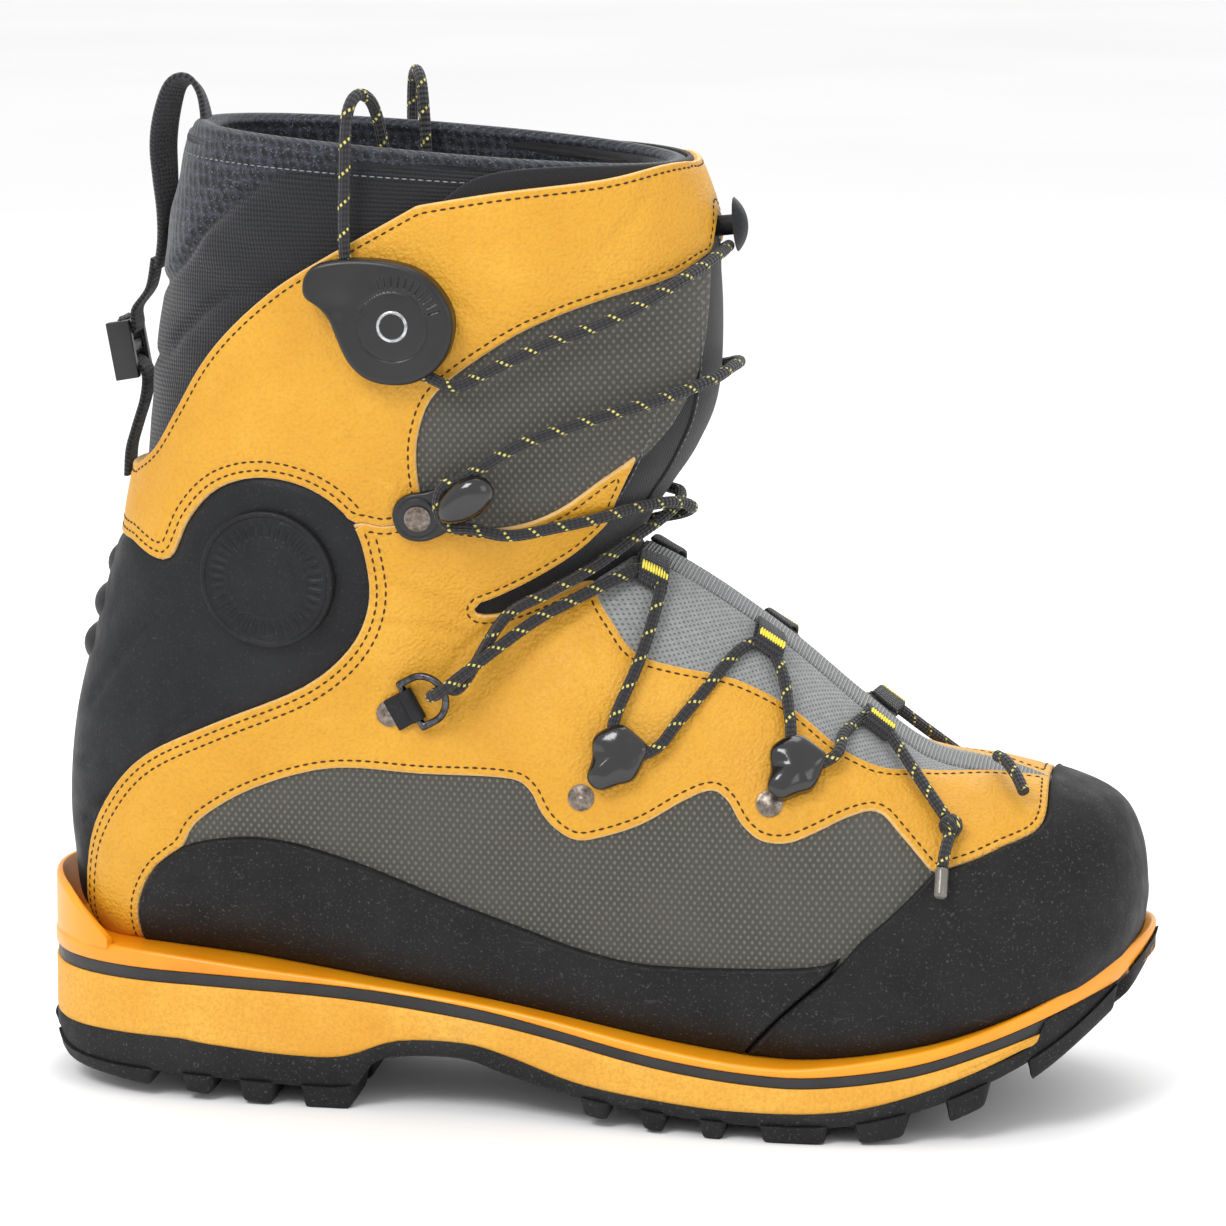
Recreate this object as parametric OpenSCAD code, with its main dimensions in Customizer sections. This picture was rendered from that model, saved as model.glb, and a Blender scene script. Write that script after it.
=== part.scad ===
// Double mountaineering boot, right foot.
// +X points to the toe, +Z up, -Y is the lateral (outer) side.
// The origin is on the ground, under the middle of the boot's box.

/* [Overall] */
// Length of the boot from heel welt to toe, mm
boot_length = 336; // [310:2:350]

/* [Upper] */
// Thickness of the yellow leather
leather_t = 1.8; // [1.4:0.1:2.0]
// Thickness of the woven side and cuff panels
panel_t = 0.9; // [0.7:0.1:1.1]
// Thickness of the instep gaiter cover
cover_t = 1.0; // [0.8:0.1:1.1]
// Thickness of the rubber rand and toe cap
rand_t = 2.6; // [2.0:0.1:3.0]
// Thickness of the moulded heel counter
counter_t = 2.8; // [2.2:0.1:3.2]
// Thickness of the black shell lining
lining_t = 1.5; // [1.2:0.1:1.7]
// Thickness of the inner boot's foam wall
foam_t = 6; // [4.5:0.5:7]

/* [Laces and webbing] */
// Diameter of the laces
lace_d = 4; // [3.5:0.5:4]
// Thickness of the webbing
web_t = 1.6; // [1.2:0.1:1.8]
// Width of the rear webbing
web_w = 12; // [10:1:13]

/* [Hardware] */
// Radial running clearance of the swivels and hinges
pivot_gap = 0.05; // [0.03:0.01:0.08]
// Radius of the round rivet heads
rivet_r = 3.9; // [3.4:0.1:4.2]
// Thickness of the lace lock disc
lock_t = 6; // [5.8:0.1:6.4]

/* [Hidden] */
DESIGN_LENGTH = 336;

LATERAL = [-90, 0];
MEDIAL = [0, 90];
BOTH = [-90, 90];
LACE_R = lace_d / 2;

// The last: each row is one cross-section, from the toe to the collar. It lies in the plane
// through its front point F and back point B (x, z), and spans the boot from side to side.
// Columns: F.x, F.z, B.x, B.z, half width, centre y, place of the widest point, the front
// roundness and the back roundness (2 is an ellipse, more is squarer).
LAST = [
    [163, 64, 163, 60, 2, 13, 0.45, 2, 2],
    [161, 78, 161, 50, 19, 12, 0.4, 2, 2.2],
    [155, 89, 155, 44, 33, 10, 0.36, 2.1, 2.6],
    [142, 96, 142, 37, 43, 6, 0.33, 2.2, 3.2],
    [122, 101, 122, 30, 50, 3, 0.32, 2.2, 4],
    [100, 106, 98, 24, 52.5, 0, 0.3, 2.1, 4.5],
    [80, 121, 73, 20, 52.5, -1, 0.28, 1.9, 4.5],
    [60, 138, 44, 21, 49.5, -2, 0.27, 1.8, 4.5],
    [42, 151, 10, 25, 46, -2, 0.28, 1.8, 4.5],
    [29, 159, -26, 31, 43.5, -1.5, 0.3, 1.9, 4.2],
    [21, 163, -62, 36, 43, -1, 0.34, 2, 3.8],
    [16, 165, -102, 40, 41, 0, 0.38, 2.1, 3.2],
    [13.5, 167, -149, 45, 39.5, 0, 0.42, 2.2, 2.8],
    [13.5, 170, -159, 72, 39, 0, 0.46, 2.2, 2.4],
    [17, 177, -158, 108, 40, 0, 0.48, 2.2, 2.3],
    [23, 186, -149, 145, 42.5, 0, 0.5, 2.2, 2.2],
    [30, 197, -141, 176, 45.5, 0, 0.5, 2.2, 2.2],
    [36, 213, -137, 203, 47.5, 0, 0.5, 2.2, 2.2],
    [37, 240, -133, 235, 48.5, 0, 0.5, 2.2, 2.2],
    [34, 265, -129, 264, 48.5, 0, 0.5, 2.2, 2.2],
    [27, 284, -113, 302, 47.5, 0, 0.5, 2.2, 2.2]];
TOE_ROWS = 3;      // rows over which an offset also moves the toe forward
// Rows at which the mesh has rings, for the shell and for the parts inside it
RINGS = concat([for (v = [0:0.5:2]) v], [3, 4], [for (v = [5:0.5:15]) v], [for (v = [16:20]) v]);
INNER_RINGS = [for (v = [0:20]) v];
AROUND = 32;       // mesh points around each ring
INNER_AROUND = 24;

// Plan outline of the sole (x, y).
SOLE_PLAN = [[-168, 0], [-160, -25], [-138, -39], [-105, -43.5], [-65, -44.5], [-25, -47], [15, -54],
    [50, -59], [82, -59], [112, -53], [140, -38], [160, -15], [168, 9], [163, 31], [145, 48],
    [118, 57], [88, 59.5], [58, 55], [25, 45], [-10, 39], [-50, 39], [-90, 42], [-132, 41], [-159, 26]];

// Side lines (x, z) of the sole's layers, from heel to toe.
FEATHER = [[-185, 45], [-138, 46], [-92, 42], [-45, 37], [-8, 32], [24, 26.5], [54, 23], [74, 23.5],
    [106, 29], [128, 36], [146, 44], [158, 50], [185, 60]];
WELT_BOTTOM = [[-185, 41], [-116, 40], [-70, 38], [-34, 34], [-8, 29.5], [24, 23.5], [54, 20.5],
    [74, 20.5], [100, 24], [122, 30], [144, 37.5], [158, 42], [185, 50]];
STRIPE_BOTTOM = [[-185, 36.5], [-116, 36], [-70, 34], [-34, 30], [-8, 26], [24, 20], [54, 17],
    [74, 17], [100, 20.5], [122, 26.5], [137, 31]];
WEDGE_BOTTOM = [[-185, 19], [-128, 19.5], [-112, 18], [-86, 16], [-70, 16.5], [-54, 22], [-34, 22.5],
    [-20, 19.5], [0, 13.5], [22, 10.5], [46, 9], [74, 9.5], [92, 12.5], [114, 19.5], [137, 29]];
TREAD_BASE = [[-185, 17.5], [-168, 16.5], [-161, 11], [-148, 9], [-120, 8], [-85, 6.5], [-68, 7], [-62, 14],
    [-54, 17], [-34, 17.5], [-20, 13.5], [0, 9], [22, 6.5], [46, 5], [74, 5], [92, 7.5], [114, 14], [136, 24],
    [152, 35], [168, 50], [185, 68]];
GROUND = [[-185, 15], [-168, 13.5], [-160, 7.5], [-143, 5], [-118, 2.8], [-85, 0], [-20, 0], [-4, 4],
    [12, 2.5], [36, 0], [76, 0], [100, 3], [120, 10], [136, 18], [150, 28], [161, 37], [168, 46], [185, 64]];
BUMPER_FOOT = 137;   // where the rubber toe bumper meets the foam wedge
// Tread lugs: where each starts and ends along x, heel first.
HEEL_LUGS = [[-175, -130], [-120, -111], [-102, -92], [-83, -68]];
BALL_LUGS = [[3, 11], [21, 28], [39, 46], [57, 76], [85, 99], [111, 122], [134, 175]];
TREAD_CHANNEL = 5;    // width of the grooves that split the tread lengthwise

// Side outlines (x, z) of the upper's pieces.
RAND_REAR = [[-134, 36], [-135, 55], [-132, 65], [-127, 72], [-119, 78]];
RAND_TOP = [[-119, 78], [-113, 80], [-100, 82], [-86, 81], [-70, 77], [-54, 72], [-34, 65], [-7, 56],
    [8, 52], [24, 50], [54, 51], [74, 53], [83, 58]];
TOE_SEAM = [[83, 58], [76, 50], [62, 37], [46, 20]];
TOE_REAR = [[83, 58], [87, 62], [95, 69], [105, 79]];
TOE_TOP = [[105, 79], [116, 82], [124, 85], [133, 88], [136, 92], [136, 100], [138, 114]];
LEATHER_LOW = [[-119, 78], [-117, 83], [-112, 88], [-101, 95], [-86, 101], [-70, 104], [-46, 103],
    [-21, 103], [-14, 100], [-10, 93], [-5, 88], [1, 85.5], [9, 87], [20, 91], [32, 98], [40, 101],
    [45, 98], [49, 92], [55, 87.5], [63, 87], [71, 90], [80, 94], [88, 95], [95, 89], [105, 79]];
COUNTER_EDGE = [[-136, 167], [-128, 163.5], [-122, 165], [-116, 177], [-106, 187], [-92, 191], [-77, 188],
    [-66, 179], [-62, 166], [-62, 153], [-68, 140], [-82, 128], [-109, 116], [-132, 104], [-145, 89],
    [-152, 71], [-154, 40]];
SEAM = [[-80, 160], [-66, 178], [-56, 178], [-44, 181]];
CUFF_REAR = [[-136, 189], [-128, 196], [-121, 207], [-112, 222], [-103, 233], [-91, 244], [-78, 253],
    [-45, 272]];
CUFF_TOP = [[-45, 272], [-21, 276], [7, 279], [24, 282], [31, 278], [34, 266], [34, 256]];
STRAP_LOW = [[34, 256], [25, 250], [8, 245], [-6, 240], [-20, 233], [-39, 219], [-45, 207], [-46, 195],
    [-44, 181]];
STRAP_EDGE = [[-44, 181], [-30, 177.5], [-17, 178.5], [-6, 183], [5, 191], [16, 199], [24, 208]];
NOTCH = [[26, 205], [18, 192], [11, 184], [4, 175.5], [-4, 168], [-15, 161], [-25, 156], [-31, 153.5],
    [-30, 150.5], [-22, 151], [-11, 155], [-1, 159]];
PANEL_FRONT = [[24, 208], [30, 220], [33, 235], [34, 256]];
// Plan outline (x, half width) of the instep opening in the quarters.
INSTEP_OPENING = [[0, 20], [9, 27], [16, 29], [30, 28], [45, 26], [62, 26], [77, 28], [89, 26],
    [100, 18], [117, 9], [135, 0.5]];

// Hardware places on the lateral side: centre, yaw and pitch of the outward normal.
LOCK = [[-51, -50.2, 238], 0, 0];
HOOK = [[-45.8, -46.2, 181.4], 4, -11];
RING = [[-45, -39.2, 126.4], 5, 4];
RING_BAR = [-4.3, -2.7, 2.8];     // middle of the D-ring's straight bar, in the ring's frame
RING_TURN = 29.4;                 // turn of the D-ring on the leather
RING_LIFT = 18;                   // lift of the D-ring's round end
LOOPS = [[[12.4, -41.4, 110], 2, 15], [[64, -38, 107.4], 13, 30]];
RIVETS = [[[-56, -40.3, 121], 3, 3], [[1.7, -44.2, 98.3], 1, 10], [[57.2, -43.8, 98.2], 5, 23]];
DISC = [[-91.3, -43.2, 161], -7, -3];
BUCKLE_PIN = [-142.5, 0, 229.5];
BUCKLE_TILT = -10;
// Centre line (x, y) of the last, which the mirrored lace follows.
CENTRE_Y = [[-22, 0], [0, -1.7], [22, -1.9], [76, -1.9], [90, -0.7], [100, 0], [122, 3], [142, 6]];

// ---- Functions ----
function blend(a, b, c, d, t) =
    0.5 * (2 * b + (c - a) * t + (2 * a - 5 * b + 4 * c - d) * t * t + (3 * b - a - 3 * c + d) * t * t * t);

// Smooth open curve through the points p, with n steps between neighbours
function curve(p, n = 2) = let (m = len(p) - 1) concat(
    [for (i = [0:m - 1], j = [0:n - 1]) blend(p[max(i - 1, 0)], p[i], p[i + 1], p[min(i + 2, m)], j / n)],
    [p[m]]);

// Smooth closed curve through the points p
function loop(p, n = 2) = let (m = len(p)) [for (i = [0:m - 1], j = [0:n - 1])
    blend(p[(i + m - 1) % m], p[i], p[(i + 1) % m], p[(i + 2) % m], j / n)];

function back_to_front(p) = [for (i = [len(p) - 1:-1:0]) p[i]];

function raised(p, dz) = [for (q = p) q + [0, dz]];

// The last's row at v, between the rows of LAST
function row(v) = let (m = len(LAST) - 1, i = min(floor(v), m - 1))
    blend(LAST[max(i - 1, 0)], LAST[i], LAST[i + 1], LAST[min(i + 2, m)], v - i);

// Point on the last at row v and angle a (0 is the front), k outside the surface
function skin(v, a, k) = let (
    r = row(v),
    back = [r[2], r[3]],
    span = [r[0], r[1]] - back,
    unit = span / norm(span),
    reach = norm(span) + 2 * k,
    front_half = cos(a) >= 0,
    power = 2 / (front_half ? r[7] : r[8]),
    half = (front_half ? 1 - r[6] : r[6]) * reach,
    along = r[6] * reach + sign(cos(a)) * half * pow(abs(cos(a)), power) - k,
    across = r[5] + (r[4] + k) * sign(sin(a)) * pow(abs(sin(a)), power),
    p = back + along * unit)
    [p.x + k * max(1 - v / TOE_ROWS, 0), across, p.y];

// Band of width w along an open flat path
function ribbon(path, w) = let (
    m = len(path) - 1,
    side = [for (i = [0:m]) let (d = path[min(i + 1, m)] - path[max(i - 1, 0)]) [-d.y, d.x] / norm(d)])
    concat([for (i = [0:m]) path[i] + side[i] * w / 2], [for (i = [m:-1:0]) path[i] - side[i] * w / 2]);

// Point q of a fitting's frame, in the boot's frame
function placed(f, q) = let (
    n = [cos(f[2]) * sin(f[1]), -cos(f[2]) * cos(f[1]), sin(f[2])],
    ax = [cos(f[1]), sin(f[1]), 0])
    f[0] + q.x * ax + q.y * cross(n, ax) + q.z * n;

function ring_point(q) = placed(RING, [RING_BAR.x + q.x * cos(RING_TURN) - q.y * sin(RING_TURN),
    RING_BAR.y + q.x * sin(RING_TURN) + q.y * cos(RING_TURN), q.z]);

function medial_point(p) = [p.x, 2 * lookup(p.x, CENTRE_Y) - p.y, p.z];

function medial_path(path) = [for (p = path) medial_point(p)];

// ---- Building blocks ----
// Evaluates its children as one closed mesh; the size stays as it is
module as_mesh() resize([0, 0, 0]) children();

module sized() scale(boot_length / DESIGN_LENGTH) children();

// The closed last, k outside its surface
module last(k, rings = RINGS, around = AROUND) {
    end = len(rings) - 1;
    points = [for (v = rings, i = [0:around - 1]) skin(v, 360 * i / around, k)];
    walls = [for (r = [0:end - 1], i = [0:around - 1]) let (
        a = r * around + i, b = a + around, c = r * around + (i + 1) % around, d = c + around)
        each [[a, b, d], [a, d, c]]];
    polyhedron(points, concat([[for (i = [0:around - 1]) i]], walls,
        [[for (i = [around - 1:-1:0]) end * around + i]]), convexity = 8);
}

module inner_last(k) last(k, INNER_RINGS, INNER_AROUND);

// Side outline (x, z) carried through the y range
module side_prism(outline, y = BOTH)
    translate([0, y[1], 0]) rotate([90, 0, 0]) linear_extrude(y[1] - y[0], convexity = 8) polygon(outline);

module plan_prism(outline, z0, z1)
    translate([0, 0, z0]) linear_extrude(z1 - z0, convexity = 8) polygon(outline);

module above(line) side_prism(concat(curve(line), [[185, 400], [-185, 400]]));

module between(top, bottom) side_prism(concat(curve(top), back_to_front(curve(bottom))));

// A layer of the upper, from k0 to k1 outside the last, inside a side outline and above the sole
module panel(k0, k1, outline, y)
    intersection() {
        difference() {
            last(k1);
            last(k0);
        }
        side_prism(outline, y);
        above(FEATHER);
    }

module instep_opening(z0 = 90, z1 = 230)
    plan_prism(concat([for (p = curve(INSTEP_OPENING)) [p.x, -p.y]],
        back_to_front(curve(INSTEP_OPENING))), z0, z1);

// Puts its children on the upper; local +Z points out of the leather
module on_upper(f) translate(f[0]) rotate([90 - f[2], 0, f[1]]) children();

// Mirrors its children to the medial side of the last at x
module to_medial(x) translate([0, 2 * lookup(x, CENTRE_Y), 0]) mirror([0, 1, 0]) children();

// Tube swept along a smooth path
module cord(path, steps = 2, sides = 8) {
    p = curve(path, steps);
    m = len(p) - 1;
    points = [for (i = [0:m]) let (
        d = p[min(i + 1, m)] - p[max(i - 1, 0)],
        t = d / norm(d),
        flat = cross(t, abs(t.z) > 0.8 ? [1, 0, 0] : [0, 0, 1]),
        u = flat / norm(flat), w = cross(t, u))
        for (j = [0:sides - 1]) let (a = 360 * j / sides) p[i] + LACE_R * (cos(a) * u + sin(a) * w)];
    walls = [for (i = [0:m - 1], j = [0:sides - 1]) let (
        a = i * sides + j, b = i * sides + (j + 1) % sides)
        each [[a, a + sides, b + sides], [a, b + sides, b]]];
    polyhedron(points, concat([[for (j = [0:sides - 1]) j]], walls,
        [[for (j = [sides - 1:-1:0]) m * sides + j]]));
}

// Shallow round rivet head with a shank set into the leather
module rivet(r, shank_r) {
    cap_r = r * 1.9;
    cap_h = cap_r - sqrt(cap_r * cap_r - r * r);
    translate([0, 0, -1.4]) cylinder(h = 1.8, r = shank_r, $fn = 32);
    translate([0, 0, 0.3]) cylinder(h = 0.4, r = r, $fn = 40);
    translate([0, 0, 0.6]) intersection() {
        translate([0, 0, cap_h - cap_r]) sphere(cap_r, $fn = 48);
        cylinder(h = cap_h, r = r, $fn = 40);
    }
}

// ---- Sole ----
// Rubber tread with lugs, its toe bumper and the grooves between the lugs
module outsole() color("#2e2e30") sized() as_mesh() difference() {
    intersection() {
        plan_prism(loop(SOLE_PLAN), 0, 90);
        union() {
            side_prism(concat(curve(WEDGE_BOTTOM), [[BUMPER_FOOT + 3, 36.5]],
                [for (p = curve(WELT_BOTTOM)) if (p.x > BUMPER_FOOT + 4) p], back_to_front(curve(TREAD_BASE))));
            for (lug = concat(HEEL_LUGS, BALL_LUGS)) tread_lug(lug[0], lug[1]);
        }
    }
    for (y = [-15, 17]) for (x = [[-171, 104], [-6, 150]])
        translate([x[0], y - TREAD_CHANNEL / 2, -1]) cube([x[1], TREAD_CHANNEL, 5.2]);
}

module tread_lug(x0, x1) {
    base = curve(TREAD_BASE);
    rise = 0.8;      // how far the lug reaches into the plate above it
    intersection() {
        side_prism(concat(curve(GROUND), [[185, 90], [-185, 90]]));
        side_prism(concat([[x0, -1], [x1, -1], [x1, lookup(x1, base) + rise]],
            [for (p = back_to_front(base)) if (p.x > x0 && p.x < x1) p + [0, rise]],
            [[x0, lookup(x0, base) + rise]]));
    }
}

module midsole_wedge() color("#eab64c") sized() difference() {
    intersection() {
        plan_prism(loop(SOLE_PLAN), 0, 90);
        between(STRIPE_BOTTOM, WEDGE_BOTTOM);
    }
    intersection() {
        above(raised(STRIPE_BOTTOM, -SHANK_T - 0.05));
        shank_block(0.05);
    }
}

// Plan of the shank, let into the top of the foam wedge
SHANK_X = [-120, 95];
SHANK_W = 44;
SHANK_T = 1.6;
module shank_block(gap)
    translate([SHANK_X[0] - gap, -SHANK_W / 2 - gap, 5])
        cube([SHANK_X[1] - SHANK_X[0] + 2 * gap, SHANK_W + 2 * gap, 50]);

// Stiffening plate
module shank() color("#202022") sized() intersection() {
    shank_block(0);
    between(STRIPE_BOTTOM, raised(STRIPE_BOTTOM, -SHANK_T));
}

module midsole_stripe() color("#29292b") sized() intersection() {
    plan_prism(loop(SOLE_PLAN), 0, 90);
    difference() {
        between(WELT_BOTTOM, STRIPE_BOTTOM);
        translate([BUMPER_FOOT, -90, 0]) cube([60, 180, 90]);
    }
}

// Crampon welt: the bright frame between the sole and the upper, cut away over the toe's tread
module welt() color("#f5a81c") sized() difference() {
    intersection() {
        plan_prism(loop(SOLE_PLAN), 0, 90);
        between(FEATHER, WELT_BOTTOM);
    }
    side_prism(concat([for (p = curve(raised(TREAD_BASE, 0.85))) if (p.x > 152) p], [[185, 0], [152, 0]]));
}

// Upstand around the heel that a crampon's heel lever hooks onto
FIN_R = 41;
module heel_fin() color("#f5a81c") sized() intersection() {
    translate([-126.6, 0, 30]) rotate([0, 0, 115]) rotate_extrude(angle = 130, $fn = 96)
        translate([FIN_R - 2.4, 0]) square([2.4, 50]);
    side_prism(concat(curve([[-175, 66], [-166, 64], [-156, 56], [-142, 49]]), [[-138, 46.1], [-185, 45]]));
    above(FEATHER);
}

module lasting_board() color("#8a6a45") sized() as_mesh() intersection() {
    inner_last(-lining_t - 0.3);
    between(raised(FEATHER, 2.4), FEATHER);
}

// ---- Upper ----
module lining_skin() difference() {
    intersection() {
        last(0);
        side_prism(LINING_OUTLINE);
        above(FEATHER);
    }
    inner_last(-lining_t);
}

module shell_lining() color("#26272c") sized() as_mesh() difference() {
    lining_skin();
    gusset_window();
}

module shell_gusset() color("#2f3036") sized() as_mesh() intersection() {
    lining_skin();
    gusset_window();
}

LINING_OUTLINE = concat([[-190, 186]],
    curve([[-133, 187], [-118, 206], [-100, 232], [-76, 251], [-44, 269], [-28, 280], [-5, 283], [30, 282.5]]),
    [[190, 282.5], [190, 10], [-190, 10]]);

module gusset_window() translate([-12, -30, 150]) cube([80, 60, 180]);

QUARTER_OUTLINE = concat(curve(SEAM), curve(STRAP_EDGE), curve(NOTCH), [[9, 158], [16, 158],
    [32, 168], [64, 148], [84, 130], [104, 116], [139, 116]], back_to_front(curve(TOE_TOP)),
    back_to_front(curve(LEATHER_LOW)), back_to_front(curve(RAND_REAR)), [[-190, 36], [-190, 140]]);

CUFF_OUTLINE = concat([[-190, 188]], curve(CUFF_REAR), curve(CUFF_TOP), curve(STRAP_LOW),
    back_to_front(curve(SEAM)), [[-190, 140]]);

COUNTER_OUTLINE = concat([[-190, 168]], curve(COUNTER_EDGE), [[-190, 36]]);

module quarter(y) as_mesh() difference() {
    panel(0, leather_t, QUARTER_OUTLINE, y);
    side_prism(COUNTER_OUTLINE);
    instep_opening();
}

module cuff(y) as_mesh() difference() {
    panel(0, leather_t, CUFF_OUTLINE, y);
    side_prism(COUNTER_OUTLINE);
}

module cuff_panel(y) as_mesh()
    panel(0, panel_t, concat(curve(PANEL_FRONT), curve(STRAP_LOW), curve(STRAP_EDGE)), y);

module side_panel(y) as_mesh()
    panel(0, panel_t, concat(curve(LEATHER_LOW), back_to_front(curve(TOE_REAR)),
        back_to_front(curve(RAND_TOP))), y);

module quarter_lateral() color("#e9ae2e") sized() quarter(LATERAL);
module quarter_medial() color("#e9ae2e") sized() quarter(MEDIAL);
module cuff_lateral() color("#e9ae2e") sized() cuff(LATERAL);
module cuff_medial() color("#e9ae2e") sized() cuff(MEDIAL);
module cuff_panel_lateral() color("#6e6e66") sized() cuff_panel(LATERAL);
module cuff_panel_medial() color("#6e6e66") sized() cuff_panel(MEDIAL);
module side_panel_lateral() color("#6e6e66") sized() side_panel(LATERAL);
module side_panel_medial() color("#6e6e66") sized() side_panel(MEDIAL);

COVER_OUTLINE = [[-10, 150], [4, 160], [13, 165], [26, 172], [150, 130], [150, 88], [-10, 88]];
RIBBED_HALF = 8;

module instep_cover() intersection() {
    panel(0, cover_t, COVER_OUTLINE, BOTH);
    instep_opening();
}

module instep_ribbed_cover() color("#9a9a9e") sized() as_mesh() intersection() {
    instep_cover();
    translate([-20, -RIBBED_HALF - 1, 80]) cube([200, 2 * RIBBED_HALF, 100]);
}

module instep_side_mesh() color("#77777c") sized() as_mesh() difference() {
    instep_cover();
    translate([-20, -RIBBED_HALF - 1, 80]) cube([200, 2 * RIBBED_HALF, 100]);
}

// Three webbing straps across the instep; the lace runs through their ends
WEBBING_X = [18, 52, 84];
module instep_webbing() color("#2a2a2c") sized() as_mesh() intersection() {
    difference() {
        last(cover_t + 0.1 + 1.2);
        last(cover_t + 0.1);
    }
    for (x = WEBBING_X) translate([x - 6, -21, 100]) cube([12, 39, 90]);
}

module side_rand() color("#303033") sized() as_mesh()
    panel(0, rand_t, concat(curve(RAND_REAR), curve(RAND_TOP), curve(TOE_SEAM), [[46, 5], [-134, 5]]), BOTH);

module toe_cap() color("#303033") sized() as_mesh()
    panel(0, rand_t, concat(back_to_front(curve(TOE_SEAM)), curve(TOE_REAR), curve(TOE_TOP),
        [[138, 130], [190, 130], [190, 5], [46, 5]]), BOTH);

module heel_counter() color("#37373a") sized() as_mesh() panel(0, counter_t, COUNTER_OUTLINE, BOTH);

// Three ribs that fold when the ankle flexes
BELLOWS = [[-142.5, 157], [-147, 144.5], [-150.5, 132]];
module heel_bellows() color("#3a3a3d") sized() as_mesh() difference() {
    for (b = BELLOWS) translate([b.x + 14, 0, b.y]) rotate([0, 0, 125]) rotate_extrude(angle = 110, $fn = 56)
        translate([15, 0]) circle(6.6, $fn = 20);
    last(counter_t + 0.1);
}

// Plain round relief on each side of the heel counter
module ankle_discs() color("#2f2f32") sized() {
    ankle_disc();
    to_medial(-91) ankle_disc();
}
DISC_R = 20.5;
module ankle_disc() on_upper(DISC) translate([0, 0, counter_t - leather_t + 0.35]) {
    difference() {
        cylinder(h = 1.6, r = DISC_R, $fn = 96);
        translate([0, 0, 0.9]) cylinder(h = 2, r = DISC_R - 1.6, $fn = 96);
    }
    for (r = [6, 12]) difference() {
        cylinder(h = 1.5, r = r + 0.7, $fn = 64);
        translate([0, 0, 0.5]) cylinder(h = 2, r = r - 0.7, $fn = 64);
    }
}

// ---- Inner boot ----
INNER_K = -2.6;
module inner_shape() difference() {
    intersection() {
        inner_last(INNER_K);
        above(raised(FEATHER, 2.6));
    }
    intersection() {
        inner_last(INNER_K - foam_t);
        above(raised(FEATHER, 7.4));
    }
    intersection() {
        translate([0.5, 0, 3]) inner_last(INNER_K - foam_t);
        translate([-130, -60, 275]) cube([200, 120, 60]);
    }
}

module tongue_window() translate([-6, -18, 195]) cube([80, 36, 140]);

module inner_boot() color("#2c2d34") sized() as_mesh() difference() {
    inner_shape();
    tongue_window();
}

module inner_tongue() color("#30313a") sized() as_mesh() intersection() {
    inner_shape();
    tongue_window();
}

module footbed() color("#4a4d55") sized() as_mesh() intersection() {
    inner_last(INNER_K - foam_t - 0.3);
    between(raised(FEATHER, 11), raised(FEATHER, 7.6));
}

// ---- Rear webbing and buckle ----
PULL_PATH = [[-113.2, 293], [-113.8, 301], [-118, 305.5], [-125, 301], [-131.5, 291], [-134.5, 280],
    [-132.5, 270], [-131.5, 260], [-132.8, 247]];
module pull_loop() color("#2a2a2d") sized()
    side_prism(ribbon(curve(PULL_PATH, 3), web_t), [-web_w / 2, web_w / 2]);

PIN_R = 1.6;
LOOP_R = PIN_R + pivot_gap + web_t;
module rear_strap_upper() color("#2a2a2d") sized() {
    p = BUCKLE_PIN;
    difference() {
        union() {
            side_prism(ribbon(curve([[-134.9, 247], [-136.2, 240], [p.x + LOOP_R - web_t / 2, p.z + 4],
                [p.x + LOOP_R - web_t / 2, p.z]], 3), web_t), [-web_w / 2, web_w / 2]);
            translate(p + [0, web_w / 2, 0]) rotate([90, 0, 0]) cylinder(h = web_w, r = LOOP_R, $fn = 48);
        }
        translate(p + [0, 20, 0]) rotate([90, 0, 0]) cylinder(h = 40, r = PIN_R + pivot_gap, $fn = 48);
    }
}

// Ladder-lock buckle, hung from the strap's loop by its top pin
module rear_buckle() color("#333336") sized() translate(BUCKLE_PIN) rotate([0, BUCKLE_TILT, 0]) {
    cheek = web_w / 2 + 0.5;
    for (s = [-1, 1]) translate([-5, s > 0 ? cheek : -cheek - 3, -15.5]) cube([7, 3, 17.5]);
    translate([0, cheek + 0.1, 0]) rotate([90, 0, 0]) cylinder(h = 2 * cheek + 0.2, r = PIN_R, $fn = 32);
    translate([-5, -cheek - 0.1, -8]) cube([6, 2 * cheek + 0.2, 3]);
    translate([-5, -cheek - 0.1, -15.5]) cube([6, 2 * cheek + 0.2, 2.5]);
}

module rear_strap_lower() color("#2a2a2d") sized()
    side_prism(ribbon(curve([[-142, 219.2], [-139.5, 218.4], [-137.2, 215], [-137.8, 208], [-140.6, 199], [-142.6, 192],
        [-143.2, 184]], 3),
        web_t), [-web_w / 2, web_w / 2]);

// ---- Lace hardware ----
LOCK_R = 18.5;
LOCK_CHANNEL = [[-14.5, 22], [-13, 12], [-11, 3], [-8, -6], [0, -11.5], [10, -15], [18, -17.5]];
LOCK_PIN_R = 3;
CHANNEL_W = lace_d + 0.9;
FLOAT = 1;          // how far the lock and hook plates stand off the leather

module lock_outline() {
    circle(LOCK_R, $fn = 72);
    polygon(concat(curve([[-12, 13], [-17, 18.5], [-22.5, 15.5], [-27, 9.5], [-26, 7.6], [-22, 6],
        [-19, 1], [-14, -6]], 3), [[0, 0]]));
}

module lace_lock() on_upper(LOCK) translate([0, 0, FLOAT]) difference() {
    linear_extrude(lock_t) lock_outline();
    translate([0, 0, -1]) linear_extrude(1 + CHANNEL_W - 0.3) polygon(ribbon(curve(LOCK_CHANNEL, 3), CHANNEL_W));
    translate([0, 0, -1]) cylinder(h = lock_t + 2, r = LOCK_PIN_R + pivot_gap, $fn = 48);
}

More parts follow.
